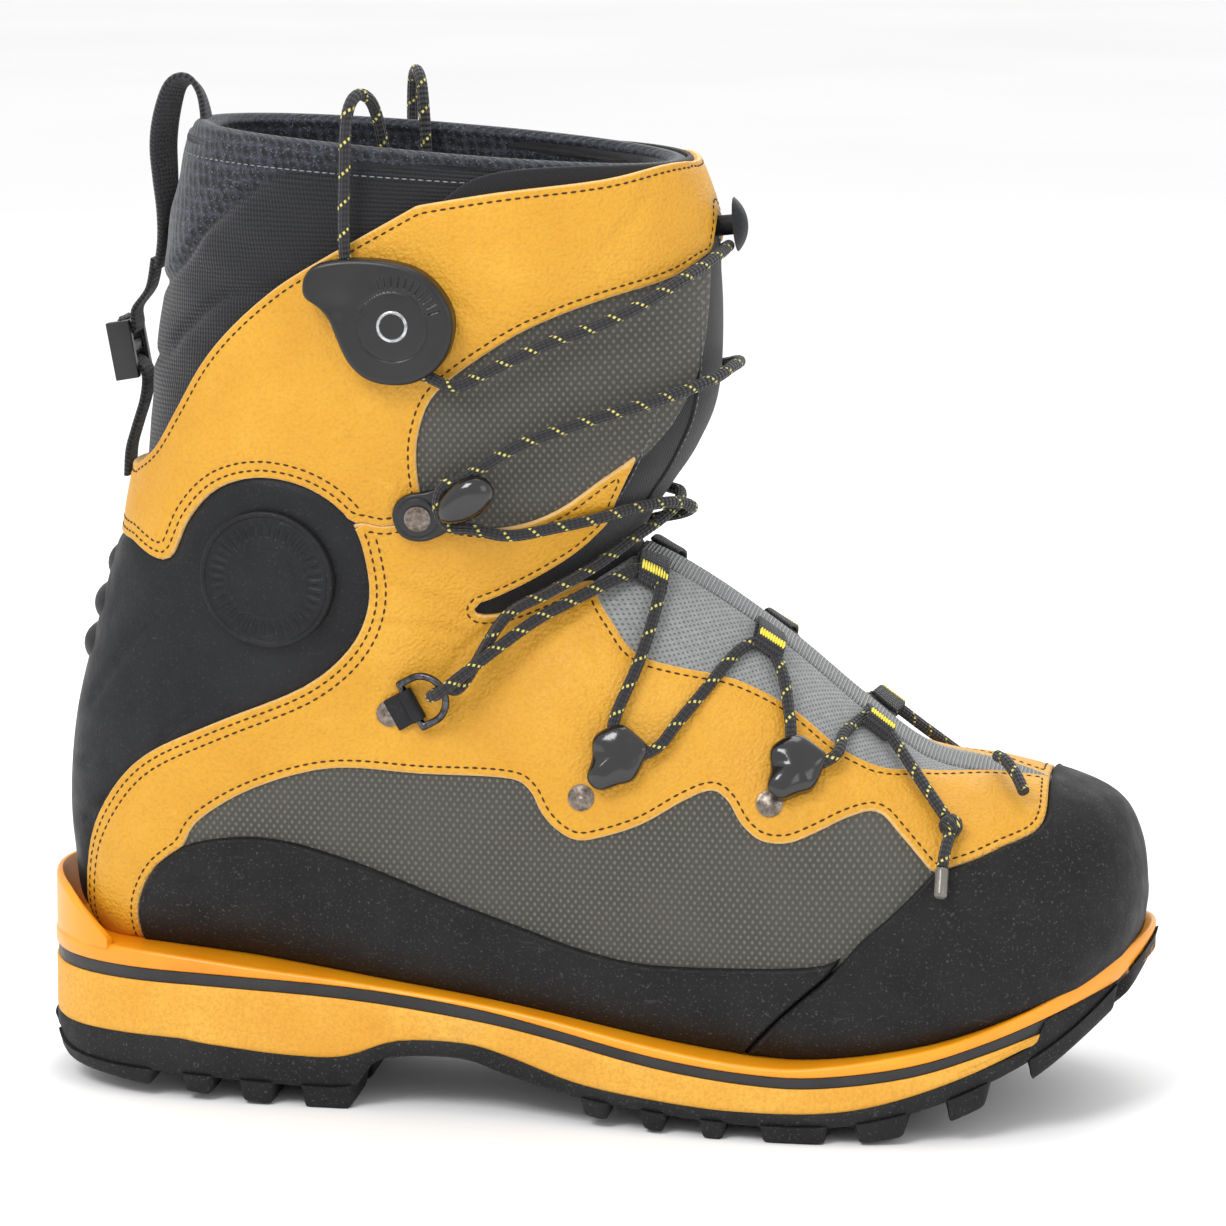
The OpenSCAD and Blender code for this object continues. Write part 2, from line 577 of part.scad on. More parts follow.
module lock_rivet() on_upper(LOCK) difference() {
    union() {
        translate([0, 0, -1.4]) cylinder(h = FLOAT + lock_t + 2, r = LOCK_PIN_R, $fn = 48);
        translate([0, 0, FLOAT + lock_t + 0.15]) cylinder(h = 1, r = 4.9, $fn = 48);
    }
    translate([0, 0, FLOAT + lock_t + 0.7]) cylinder(h = 2, r = 2.4, $fn = 48);
}

module lace_lock_lateral() color("#2b2b2e") sized() lace_lock();
module lace_lock_medial() color("#2b2b2e") sized() to_medial(-51) lace_lock();
module lock_rivets() color("#b5b7ba") sized() {
    lock_rivet();
    to_medial(-51) lock_rivet();
}

HOOK_PIN_R = 2.2;
HOOK_NECK = [13, 6];
HOOK_NECK_R = 3.2;
HOOK_PLATE_T = 1.8;
HOOK_CAP_Z = FLOAT + HOOK_PLATE_T + lace_d + 1.2;

module cuff_hook() on_upper(HOOK) {
    difference() {
        translate([0, 0, FLOAT]) linear_extrude(HOOK_PLATE_T) polygon(hook_plate());
        translate([0, 0, -1]) cylinder(h = 8, r = HOOK_PIN_R + pivot_gap, $fn = 40);
    }
    translate([HOOK_NECK.x, HOOK_NECK.y, FLOAT + 0.5]) cylinder(h = HOOK_CAP_Z - FLOAT, r = HOOK_NECK_R, $fn = 32);
    translate([HOOK_NECK.x + 0.5, HOOK_NECK.y + 0.5, HOOK_CAP_Z]) intersection() {
        translate([0, 0, -8.6]) sphere(12, $fn = 56);
        cylinder(h = 4, r = 8, $fn = 48);
    }
}

// Outline of two circles joined by their outer tangents
function hook_plate() = let (
    c1 = [0, 0], r1 = 7.5, c2 = [18, 7], r2 = 7.8,
    tilt = atan2(c2.y - c1.y, c2.x - c1.x))
    concat([for (a = [90:12:270]) c1 + r1 * [cos(a + tilt), sin(a + tilt)]],
        [for (a = [-90:12:90]) c2 + r2 * [cos(a + tilt), sin(a + tilt)]]);

module hook_rivet() on_upper(HOOK) {
    translate([0, 0, -1.4]) cylinder(h = FLOAT + HOOK_PLATE_T + 2, r = HOOK_PIN_R, $fn = 40);
    translate([0, 0, FLOAT + HOOK_PLATE_T - 0.15]) rivet_head(rivet_r);
}

module rivet_head(r) {
    cap_r = r * 1.9;
    cap_h = cap_r - sqrt(cap_r * cap_r - r * r);
    translate([0, 0, 0.3]) cylinder(h = 0.4, r = r, $fn = 40);
    translate([0, 0, 0.6]) intersection() {
        translate([0, 0, cap_h - cap_r]) sphere(cap_r, $fn = 48);
        cylinder(h = cap_h, r = r, $fn = 40);
    }
}

module cuff_hook_lateral() color("#29292c") sized() cuff_hook();
module cuff_hook_medial() color("#29292c") sized() to_medial(-46) cuff_hook();
module hook_rivets() color("#77716c") sized() {
    hook_rivet();
    to_medial(-46) hook_rivet();
}

RING_WIRE = 1.1;
RING_HALF = 7.2;
RING_DEPTH = 11.4;

module ring_frame() on_upper(RING) translate(RING_BAR) rotate([0, 0, RING_TURN]) children();

module d_ring() ring_frame() rotate([0, -RING_LIFT, 0]) {
    arm = RING_DEPTH - RING_HALF;
    translate([0, RING_HALF, 0]) rotate([90, 0, 0]) cylinder(h = 2 * RING_HALF, r = RING_WIRE, $fn = 32);
    for (s = [-1, 1]) translate([0, s * RING_HALF, 0]) {
        rotate([0, 90, 0]) cylinder(h = arm, r = RING_WIRE, $fn = 32);
        sphere(RING_WIRE, $fn = 32);
    }
    translate([arm, 0, 0]) rotate([0, 0, -90]) rotate_extrude(angle = 180, $fn = 64)
        translate([RING_HALF, 0]) circle(RING_WIRE, $fn = 32);
}

// Folded webbing tab that holds the D-ring's bar
module ring_keeper() ring_frame() {
    difference() {
        union() {
            translate([0, 5, 0]) rotate([90, 0, 0]) cylinder(h = 10, r = 2.35, $fn = 40);
            translate([-7, -5, -2.35]) cube([7, 10, 1.3]);
        }
        translate([0, 8, 0]) rotate([90, 0, 0]) cylinder(h = 16, r = RING_WIRE + pivot_gap, $fn = 40);
    }
}

module d_ring_lateral() color("#5a5a60") sized() d_ring();
module d_ring_medial() color("#5a5a60") sized() to_medial(-46) d_ring();
module ring_keepers() color("#2a2a2c") sized() {
    ring_keeper();
    to_medial(-46) ring_keeper();
}

// Moulded lace loops on the quarters; the lace turns inside each
LOOP_OUTLINE = [[-2.5, 9], [1.5, 9.4], [5.2, 6.9], [9, 3], [7.7, -1.1], [4.8, -6.5], [0.5, -8.1], [-5, -9.8],
    [-8.8, -6.5], [-7.5, -0.5], [-7.2, 5.5]];
LOOP_CHANNEL = [[-1, 12], [-1.5, 4.5], [0.2, 0], [4.5, -0.2], [12, 3.5]];
LOOP_H = 6.4;

module lace_loop(f) on_upper(f) translate([0, 0, 0.4]) difference() {
    linear_extrude(LOOP_H) polygon(loop(LOOP_OUTLINE, 3));
    translate([0, 0, -1]) linear_extrude(1 + CHANNEL_W) polygon(ribbon(curve(LOOP_CHANNEL, 3), CHANNEL_W));
}

module lace_loops_lateral() color("#232326") sized() for (f = LOOPS) lace_loop(f);
module lace_loops_medial() color("#232326") sized() for (f = LOOPS) to_medial(f[0].x) lace_loop(f);

module rivets_lateral() color("#77716c") sized() for (f = RIVETS) on_upper(f) rivet(rivet_r, 1.8);
module rivets_medial() color("#77716c") sized() for (f = RIVETS) to_medial(f[0].x) on_upper(f) rivet(rivet_r, 1.8);

// Round moulded keeper on the front of the tongue, behind which the lace passes
KEEPER = [34.9, 0, 262];
module front_keeper() color("#2d2d30") sized() translate(KEEPER) rotate([0, 84, 0]) {
    cylinder(h = 6.6, r = 3, $fn = 32);
    translate([0, 0, 6.2]) intersection() {
        cylinder(h = 5, r = 8, $fn = 48);
        translate([0, 0, -7.4]) sphere(11, $fn = 56);
    }
}

// ---- Laces ----
LACE_Z = 2.6;      // height of the lace's centre line over the leather
function lock_lace(x, y) = placed(LOCK, [x, y, LACE_Z + 0.6]);
function hook_lace(x, y) = placed(HOOK, [x, y, FLOAT + HOOK_PLATE_T + LACE_R + 0.6]);

COLLAR_HALF = concat([[-57, -32, 272], [-58, -33, 288], [-60, -38, 300], [-63, -45, 303],
    [-65, -50.5, 297], [-65.5, -52.5, 280]],
    [for (p = LOCK_CHANNEL) lock_lace(p.x, p.y)],
    [[-22, -53, 226], [-7, -49.5, 233], [7, -45, 238], [18, -40, 243], [28, -32, 249], [34, -22.5, 252.5],
    [37.5, -13, 255], [38.7, -6, 256]]);
HOOK_HALF = concat([[20.5, -16, 181.5], [13, -25, 181], [5, -33, 179.5], [-7, -40, 177.5], [-19, -46, 176]],
    [for (p = [[16, -2], [9, -1.2], [6.4, 5], [8, 11], [14, 13.5]]) hook_lace(p.x, p.y)],
    [[-16, -50.5, 203], [-4, -48, 207.5], [7, -44, 211], [19, -37.5, 214], [30, -28, 217], [37.5, -18, 219.5],
    [41.2, -8, 221.5]]);

function loop_lace(i, q) = placed(LOOPS[i], [q.x, q.y, LACE_Z + 0.4]);
RING_TURN_PATH = [[17, 1, 8.4], [13, 0.4, 10], [10, 0, 9.9], [7.3, 0, 6.5], [8.9, 0, 3.1], [12, -0.4, 2.4],
    [17, -1.5, 2.9]];
LOWER_HALF = concat(
    [[108, -38, 95], [102, -32, 101.5], [95.5, -24.5, 108.5], [88.5, -17, 116], [84, -14.5, 119.5], [80, -19, 118],
        [77, -27, 116]],
    [for (p = back_to_front(LOOP_CHANNEL)) loop_lace(1, p)],
    [[61, -31, 125], [59, -25, 132], [55, -18, 138.5], [51, -16.5, 141], [45, -23.5, 139], [36.5, -33, 129], [29, -40, 120]],
    [for (p = back_to_front(LOOP_CHANNEL)) loop_lace(0, p)],
    [[17, -35, 136.5], [20.5, -27, 149], [21.5, -20, 158], [17.5, -17, 162.5], [9, -23.5, 160], [-4, -32, 154], [-15, -37.5, 148]],
    [for (p = RING_TURN_PATH) ring_point(p)],
    [[-22, -38.5, 150], [-10, -34, 157], [3, -26.5, 164], [13, -18, 171]]);
// Where the two halves cross at the ankle, one over the other
UNDER_CROSSING = [[20, -9, 175.5], [24, 0, 179], [23.8, 8, 181]];
OVER_CROSSING = [[25.4, -8, 180.6], [28.4, 0, 178], [24, 9, 174.5]];

module lace_collar_run() color("#222225") sized()
    cord(concat(COLLAR_HALF, [[38.9, 0, 256.2]], back_to_front(medial_path(COLLAR_HALF))), 1);

// The whole main lace, from the lateral knot to the medial one
module lace_main_run() color("#222225") sized()
    cord(concat(LOWER_HALF, UNDER_CROSSING, medial_path(HOOK_HALF), [[42.4, 0, 221.8]],
        back_to_front(HOOK_HALF), OVER_CROSSING, back_to_front(medial_path(LOWER_HALF))), 1);

KNOT = [109.8, -40, 92.5];
TAIL = [[110, -41, 91], [109, -46, 87.5], [108.3, -50, 82.5]];

module knot() translate(KNOT) {
    sphere(3.2, $fn = 32);
    translate([0.6, -1.8, -1.6]) sphere(2.6, $fn = 32);
}

module lace_knots() color("#222225") sized() {
    knot();
    cord(TAIL, 2);
    to_medial(110) {
        knot();
        cord(TAIL, 2);
    }
}

// Clear tips on the short tails below the knots
module aglet() translate(TAIL[2] + [0, -0.3, -0.3]) rotate([145, 0, 0]) cylinder(h = 9, r = 2.1, $fn = 32);
module lace_aglets() color("#9a9a95") sized() {
    aglet();
    to_medial(108) aglet();
}

// Short bight of lace at the toe end of the instep cover
module toe_lace() color("#222225") sized()
    cord([[121, -9, 107], [124, -14, 106.5], [127.5, -20, 103.5], [130, -25, 100]], 1);

outsole();
midsole_wedge();
midsole_stripe();
welt();
heel_fin();
shank();
lasting_board();
shell_lining();
shell_gusset();
instep_ribbed_cover();
instep_side_mesh();
instep_webbing();
side_panel_lateral();
side_panel_medial();
quarter_lateral();
quarter_medial();
cuff_lateral();
cuff_medial();
cuff_panel_lateral();
cuff_panel_medial();
side_rand();
toe_cap();
heel_counter();
heel_bellows();
ankle_discs();
inner_boot();
inner_tongue();
footbed();
pull_loop();
rear_strap_upper();
rear_strap_lower();
rear_buckle();
lace_lock_lateral();
lace_lock_medial();
lock_rivets();
cuff_hook_lateral();
cuff_hook_medial();
hook_rivets();
d_ring_lateral();
d_ring_medial();
ring_keepers();
lace_loops_lateral();
lace_loops_medial();
rivets_lateral();
rivets_medial();
front_keeper();
lace_collar_run();
lace_main_run();
lace_knots();
lace_aglets();
toe_lace();
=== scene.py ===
"""Looks for the mountaineering boot: leather, fabric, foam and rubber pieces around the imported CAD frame.

Lengths are worked in millimetres and written to the meshes in metres. +X is the toe, -Y the lateral side.
"""
import math

import bmesh
import bpy
import numpy as np
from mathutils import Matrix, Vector


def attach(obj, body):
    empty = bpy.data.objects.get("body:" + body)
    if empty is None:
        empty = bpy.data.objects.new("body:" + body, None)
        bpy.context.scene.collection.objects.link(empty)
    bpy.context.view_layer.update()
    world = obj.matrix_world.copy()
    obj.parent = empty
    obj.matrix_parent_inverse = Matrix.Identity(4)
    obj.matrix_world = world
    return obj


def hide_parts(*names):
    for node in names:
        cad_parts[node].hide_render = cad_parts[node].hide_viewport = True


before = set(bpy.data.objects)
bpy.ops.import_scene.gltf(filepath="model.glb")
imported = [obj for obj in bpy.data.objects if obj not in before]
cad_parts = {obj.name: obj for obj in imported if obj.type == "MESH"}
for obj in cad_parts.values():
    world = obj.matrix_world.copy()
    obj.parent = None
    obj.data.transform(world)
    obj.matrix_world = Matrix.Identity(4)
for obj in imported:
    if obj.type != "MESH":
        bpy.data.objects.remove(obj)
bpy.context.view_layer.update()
MM = 0.001

# ------------------------------------------------------------------ the last
# Rows of the last, toe to collar: front point x, z, back point x, z, half width, centre y,
# place of the widest point, front and back roundness.
LAST = np.array([
    [163, 64, 163, 60, 2, 13, 0.45, 2, 2],
    [161, 78, 161, 50, 19, 12, 0.4, 2, 2.2],
    [155, 89, 155, 44, 33, 10, 0.36, 2.1, 2.6],
    [142, 96, 142, 37, 43, 6, 0.33, 2.2, 3.2],
    [122, 101, 122, 30, 50, 3, 0.32, 2.2, 4],
    [100, 106, 98, 24, 52.5, 0, 0.3, 2.1, 4.5],
    [80, 121, 73, 20, 52.5, -1, 0.28, 1.9, 4.5],
    [60, 138, 44, 21, 49.5, -2, 0.27, 1.8, 4.5],
    [42, 151, 10, 25, 46, -2, 0.28, 1.8, 4.5],
    [29, 159, -26, 31, 43.5, -1.5, 0.3, 1.9, 4.2],
    [21, 163, -62, 36, 43, -1, 0.34, 2, 3.8],
    [16, 165, -102, 40, 41, 0, 0.38, 2.1, 3.2],
    [13.5, 167, -149, 45, 39.5, 0, 0.42, 2.2, 2.8],
    [13.5, 170, -159, 72, 39, 0, 0.46, 2.2, 2.4],
    [17, 177, -158, 108, 40, 0, 0.48, 2.2, 2.3],
    [23, 186, -149, 145, 42.5, 0, 0.5, 2.2, 2.2],
    [30, 197, -141, 176, 45.5, 0, 0.5, 2.2, 2.2],
    [36, 213, -137, 203, 47.5, 0, 0.5, 2.2, 2.2],
    [37, 240, -133, 235, 48.5, 0, 0.5, 2.2, 2.2],
    [34, 265, -129, 264, 48.5, 0, 0.5, 2.2, 2.2],
    [27, 284, -113, 302, 47.5, 0, 0.5, 2.2, 2.2]], float)
TOE_ROWS = 3
CENTRE_Y = np.array([[-22, 0], [0, -1.7], [22, -1.9], [76, -1.9], [90, -0.7], [100, 0], [122, 3],
                     [142, 6]], float)

FEATHER = [[-185, 45], [-138, 46], [-92, 42], [-45, 37], [-8, 32], [24, 26.5], [54, 23], [74, 23.5],
           [106, 29], [128, 36], [146, 44], [158, 50], [185, 60]]
WELT_BOTTOM = [[-185, 41], [-116, 40], [-70, 38], [-34, 34], [-8, 29.5], [24, 23.5], [54, 20.5],
               [74, 20.5], [100, 24], [122, 30], [144, 37.5], [158, 42], [185, 50]]
STRIPE_BOTTOM = [[-185, 36.5], [-116, 36], [-70, 34], [-34, 30], [-8, 26], [24, 20], [54, 17],
                 [74, 17], [100, 20.5], [122, 26.5], [137, 31], [185, 45]]
WEDGE_BOTTOM = [[-185, 19], [-128, 19.5], [-112, 18], [-86, 16], [-70, 16.5], [-54, 22], [-34, 22.5],
                [-20, 19.5], [0, 13.5], [22, 10.5], [46, 9], [74, 9.5], [92, 12.5], [114, 19.5], [137, 29],
                [185, 50]]
TREAD_BASE = [[-185, 17.5], [-168, 16.5], [-161, 11], [-148, 9], [-120, 8], [-85, 6.5], [-68, 7], [-62, 14],
              [-54, 17], [-34, 17.5], [-20, 13.5], [0, 9], [22, 6.5], [46, 5], [74, 5], [92, 7.5], [114, 14],
              [136, 24], [152, 35], [168, 50], [185, 68]]
GROUND = [[-185, 15], [-168, 13.5], [-160, 7.5], [-143, 5], [-118, 2.8], [-85, 0.05], [-20, 0.05], [-4, 4],
          [12, 2.5], [36, 0.05], [76, 0.05], [100, 3], [120, 10], [136, 18], [150, 28], [161, 37], [168, 46],
          [185, 64]]
SOLE_PLAN = [[-168, 0], [-160, -25], [-138, -39], [-105, -43.5], [-65, -44.5], [-25, -47], [15, -54],
             [50, -59], [82, -59], [112, -53], [140, -38], [160, -15], [168, 9], [163, 31], [145, 48],
             [118, 57], [88, 59.5], [58, 55], [25, 45], [-10, 39], [-50, 39], [-90, 42], [-132, 41],
             [-159, 26]]
HEEL_LUGS = [[-175, -130], [-120, -111], [-102, -92], [-83, -68]]
BALL_LUGS = [[3, 11], [21, 28], [39, 46], [57, 76], [85, 99], [111, 122], [134, 175]]

# Side outlines of the upper's pieces (x, z).
RAND_REAR = [[-134, 36], [-135, 55], [-132, 65], [-127, 72], [-119, 78]]
RAND_TOP = [[-119, 78], [-113, 80], [-100, 82], [-86, 81], [-70, 77], [-54, 72], [-34, 65], [-7, 56],
            [8, 52], [24, 50], [54, 51], [74, 53], [83, 58]]
TOE_SEAM = [[83, 58], [76, 50], [62, 37], [46, 20]]
TOE_REAR = [[83, 58], [87, 62], [95, 69], [105, 79]]
TOE_TOP = [[105, 79], [116, 82], [124, 85], [133, 88], [136, 92], [136, 100], [138, 114]]
LEATHER_LOW = [[-119, 78], [-117, 83], [-112, 88], [-101, 95], [-86, 101], [-70, 104], [-46, 103],
               [-21, 103], [-14, 100], [-10, 93], [-5, 88], [1, 85.5], [9, 87], [20, 91], [32, 98], [40, 101],
               [45, 98], [49, 92], [55, 87.5], [63, 87], [71, 90], [80, 94], [88, 95], [95, 89], [105, 79]]
COUNTER_EDGE = [[-136, 167], [-128, 163.5], [-122, 165], [-116, 177], [-106, 187], [-92, 191], [-77, 188],
                [-66, 179], [-62, 166], [-62, 153], [-68, 140], [-82, 128], [-109, 116], [-132, 104],
                [-145, 89], [-152, 71], [-154, 40]]
SEAM = [[-80, 160], [-66, 178], [-56, 178], [-44, 181]]
CUFF_REAR = [[-136, 189], [-128, 196], [-121, 207], [-112, 222], [-103, 233], [-91, 244], [-78, 253],
             [-45, 272]]
CUFF_TOP = [[-45, 272], [-21, 276], [7, 279], [24, 282], [31, 278], [34, 266], [34, 256]]
STRAP_LOW = [[34, 256], [25, 250], [8, 245], [-6, 240], [-20, 233], [-39, 219], [-45, 207], [-46, 195],
             [-44, 181]]
STRAP_EDGE = [[-44, 181], [-30, 177.5], [-17, 178.5], [-6, 183], [5, 191], [16, 199], [24, 208]]
NOTCH = [[26, 205], [18, 192], [11, 184], [4, 175.5], [-4, 168], [-15, 161], [-25, 156], [-31, 153.5],
         [-30, 150.5], [-22, 151], [-11, 155], [-1, 159]]
PANEL_FRONT = [[24, 208], [30, 220], [33, 235], [34, 256]]
INSTEP_OPENING = [[0, 20], [9, 27], [16, 29], [30, 28], [45, 26], [62, 26], [77, 28], [89, 26],
                  [100, 18], [117, 9], [135, 0.5]]


def spline(points, n=4, closed=False):
    """Smooth curve through the points, n steps between neighbours."""
    p = np.asarray(points, float)
    m = len(p)
    t = (np.arange(n) / n)[:, None]
    out = []
    for i in range(m if closed else m - 1):
        a, b, c, d = (p[(i + k) % m] if closed else p[min(max(i + k, 0), m - 1)] for k in (-1, 0, 1, 2))
        out.append(0.5 * (2 * b + (c - a) * t + (2 * a - 5 * b + 4 * c - d) * t ** 2
                          + (3 * b - a - 3 * c + d) * t ** 3))
    return np.concatenate(out + ([] if closed else [p[-1:]]))


def resample(path, step):
    """Points along an open path at equal spacing close to step."""
    path = np.asarray(path, float)
    s = np.concatenate([[0], np.cumsum(np.linalg.norm(np.diff(path, axis=0), axis=1))])
    at = np.linspace(0, s[-1], max(int(round(s[-1] / step)), 2) + 1)
    return np.stack([np.interp(at, s, path[:, i]) for i in range(path.shape[1])], 1)


def height(line, x):
    """z of a side line at x."""
    c = spline(line)
    return np.interp(x, c[:, 0], c[:, 1])


def row(v):
    """The last's row at each v."""
    v = np.clip(np.asarray(v, float), 0, len(LAST) - 1)
    i = np.minimum(v.astype(int), len(LAST) - 2)
    t = (v - i)[..., None]
    a, b, c, d = (LAST[np.clip(i + k, 0, len(LAST) - 1)] for k in (-1, 0, 1, 2))
    return 0.5 * (2 * b + (c - a) * t + (2 * a - 5 * b + 4 * c - d) * t ** 2
                  + (3 * b - a - 3 * c + d) * t ** 3)


def skin(v, a, k=0.0):
    """Points on the last at row v and angle a in radians (0 is the front), k outside the surface."""
    v, a = np.broadcast_arrays(np.asarray(v, float), np.asarray(a, float))
    r = row(v)
    span = r[..., 0:2] - r[..., 2:4]
    size = np.linalg.norm(span, axis=-1)
    unit = span / size[..., None]
    reach = size + 2 * k
    c, s = np.cos(a), np.sin(a)
    power = 2 / np.where(c >= 0, r[..., 7], r[..., 8])
    half = np.where(c >= 0, 1 - r[..., 6], r[..., 6]) * reach
    along = r[..., 6] * reach + np.sign(c) * half * np.abs(c) ** power - k
    across = r[..., 5] + (r[..., 4] + k) * np.sign(s) * np.abs(s) ** power
    xz = r[..., 2:4] + along[..., None] * unit
    toe = k * np.clip(1 - v / TOE_ROWS, 0, 1)
    return np.stack([xz[..., 0] + toe, across, xz[..., 1]], -1)


class Base:
    """Fine grid on the last: points, normals and distances along and around, in mm."""

    def __init__(self, v_from=0.0, v_to=20.0, cell=1.9, k=0.0):
        dense = np.linspace(-math.pi, math.pi, 1441)
        knots = np.arange(math.ceil(v_from), math.floor(v_to) + 1)
        knots = np.unique(np.concatenate([[v_from], knots, [v_to]]))
        vs = []
        for v0, v1 in zip(knots[:-1], knots[1:]):
            gap = np.linalg.norm(skin(v0, dense) - skin(v1, dense), axis=1).max()
            n = max(int(math.ceil(gap / cell)), 1)
            vs.extend(v0 + (v1 - v0) * np.arange(n) / n)
        vs.append(knots[-1])
        self.v = np.array(vs)
        columns = 2 * int(round(150 / cell))
        share = np.linspace(0, 1, columns + 1)
        angle = np.zeros((len(self.v), columns + 1))
        for i, v in enumerate(self.v):
            p = skin(v, dense, k)
            s = np.concatenate([[0], np.cumsum(np.linalg.norm(np.diff(p, axis=0), axis=1))])
            angle[i] = np.interp(share * s[-1], s, dense)
        self.angle = angle
        self.p = skin(self.v[:, None], angle, k)
        pu = np.gradient(self.p, axis=1)
        pu[:, 0] = pu[:, -1] = self.p[:, 1] - self.p[:, -2]
        pv = np.gradient(self.p, axis=0)
        n = np.cross(pv, pu)
        n /= np.maximum(np.linalg.norm(n, axis=-1, keepdims=True), 1e-9)
        self.n = n if n[len(self.v) // 2, columns // 4, 1] < 0 else -n
        mid = columns // 2
        step_u = np.linalg.norm(np.diff(self.p, axis=1), axis=-1)
        around = np.concatenate([np.zeros((len(self.v), 1)), np.cumsum(step_u, 1)], 1)
        self.around = around - around[:, mid:mid + 1]
        step_v = np.linalg.norm(np.diff(self.p[:, mid], axis=0), axis=-1)
        self.along = np.repeat(np.concatenate([[0], np.cumsum(step_v)])[:, None], columns + 1, 1)
        rows_n, cols_n = len(self.v), columns + 1
        idx = np.arange(rows_n * cols_n).reshape(rows_n, cols_n)
        a, b, c, d = idx[:-1, :-1], idx[1:, :-1], idx[1:, 1:], idx[:-1, 1:]
        flip = (np.add.outer(np.arange(rows_n - 1), np.arange(cols_n - 1)) % 2).astype(bool)
        one = np.where(flip[..., None], np.stack([a, b, c], -1), np.stack([a, b, d], -1))
        two = np.where(flip[..., None], np.stack([a, c, d], -1), np.stack([b, c, d], -1))
        self.tri = np.concatenate([one.reshape(-1, 3), two.reshape(-1, 3)])

    def flat(self):
        return {"p": self.p.reshape(-1, 3), "n": self.n.reshape(-1, 3),
                "wrap": np.stack([self.around.ravel(), self.along.ravel()], 1)}


BASE = Base()


def inside(points, outline):
    """Signed distance of 2-D points to a closed outline, positive inside, and its unit gradient."""
    p = np.asarray(points, float)
    a = np.asarray(outline, float)
    b = np.roll(a, -1, axis=0)
    best = np.full(len(p), 1e9)
    near = np.zeros_like(p)
    within = np.zeros(len(p), bool)
    for a0, b0 in zip(a, b):
        d = b0 - a0
        t = np.clip(((p - a0) @ d) / max(d @ d, 1e-12), 0, 1)
        q = a0 + t[:, None] * d
        dist = np.hypot(*(p - q).T)
        closer = dist < best
        best[closer] = dist[closer]
        near[closer] = q[closer]
        if a0[1] != b0[1]:
            cross = (a0[1] > p[:, 1]) != (b0[1] > p[:, 1])
            x = a0[0] + (p[:, 1] - a0[1]) * d[0] / d[1]
            within ^= cross & (p[:, 0] < x)
    sign = np.where(within, 1.0, -1.0)
    grad = (p - near) / np.maximum(best, 1e-9)[:, None] * sign[:, None]
    return best * sign, grad


def field(grid, outline, plane="side"):
    """Distance from an outline, in mm along the surface near the edge, positive inside."""
    if plane == "side":
        d, g = inside(grid["p"][:, [0, 2]], outline)
        g3 = np.stack([g[:, 0], np.zeros(len(g)), g[:, 1]], 1)
    else:
        d, g = inside(grid["p"][:, [0, 1]], outline)
        g3 = np.stack([g[:, 0], g[:, 1], np.zeros(len(g))], 1)
    slope = np.sqrt(np.clip(1 - np.sum(g3 * grid["n"], 1) ** 2, 0.09, 1))
    return d / slope


def above(grid, line, plus=0.0):
    c = spline(line)
    return grid["p"][:, 2] - np.interp(grid["p"][:, 0], c[:, 0], c[:, 1]) - plus


def split(data, tri, f_name, level):
    """Cuts the triangles along f = level; new points are blended from their edge's ends."""
    f = data[f_name]
    side = f >= level
    s = side[tri]
    mixed = s.any(1) & ~s.all(1)
    if not mixed.any():
        return data, tri
    t, sm = tri[mixed], s[mixed]
    lone = np.where(sm.sum(1) == 1, sm.argmax(1), (~sm).argmax(1))
    i = np.arange(len(t))
    a, b, c = t[i, lone], t[i, (lone + 1) % 3], t[i, (lone + 2) % 3]
    edges = np.sort(np.concatenate([np.stack([a, b], 1), np.stack([a, c], 1)]), axis=1)
    uniq, inv = np.unique(edges, axis=0, return_inverse=True)
    inv = inv.ravel()
    w = (level - f[uniq[:, 0]]) / (f[uniq[:, 1]] - f[uniq[:, 0]])
    count = len(f)
    out = {}
    for name, value in data.items():
        v0, v1 = value[uniq[:, 0]], value[uniq[:, 1]]
        ww = w if value.ndim == 1 else w[:, None]
        out[name] = np.concatenate([value, v0 + (v1 - v0) * ww])
    out[f_name][count:] = level
    ab, ac = inv[:len(t)] + count, inv[len(t):] + count
    new = np.concatenate([np.stack([a, ab, ac], 1), np.stack([ab, b, c], 1), np.stack([ab, c, ac], 1)])
    return out, np.concatenate([tri[~mixed], new])


def keep(data, tri, mask):
    """Drops triangles outside the mask and the points nothing uses."""
    tri = tri[mask]
    used = np.unique(tri)
    remap = np.full(len(next(iter(data.values()))), -1)
    remap[used] = np.arange(len(used))
    return {k: v[used] for k, v in data.items()}, remap[tri]


def border_edges(tri):
    e = np.concatenate([tri[:, [0, 1]], tri[:, [1, 2]], tri[:, [2, 0]]])
    key = np.sort(e, axis=1)
    _, first, count = np.unique(key, axis=0, return_index=True, return_counts=True)
    return e[first[count == 1]]


def chains(edges):
    """Polylines of point indices from loose edges."""
    nxt = {}
    for a, b in edges:
        nxt.setdefault(int(a), []).append(int(b))
        nxt.setdefault(int(b), []).append(int(a))
    seen, out = set(), []
    starts = [k for k, v in nxt.items() if len(v) == 1] + list(nxt)
    for start in starts:
        if start in seen:
            continue
        line, here = [start], start
        seen.add(start)
        while True:
            ahead = [n for n in nxt[here] if n not in seen]
            if not ahead:
                break
            here = ahead[0]
            seen.add(here)
            line.append(here)
        if len(line) > 2:
            if start in nxt[line[-1]] and len(nxt[start]) == 2:
                line.append(start)
            out.append(line)
    return out


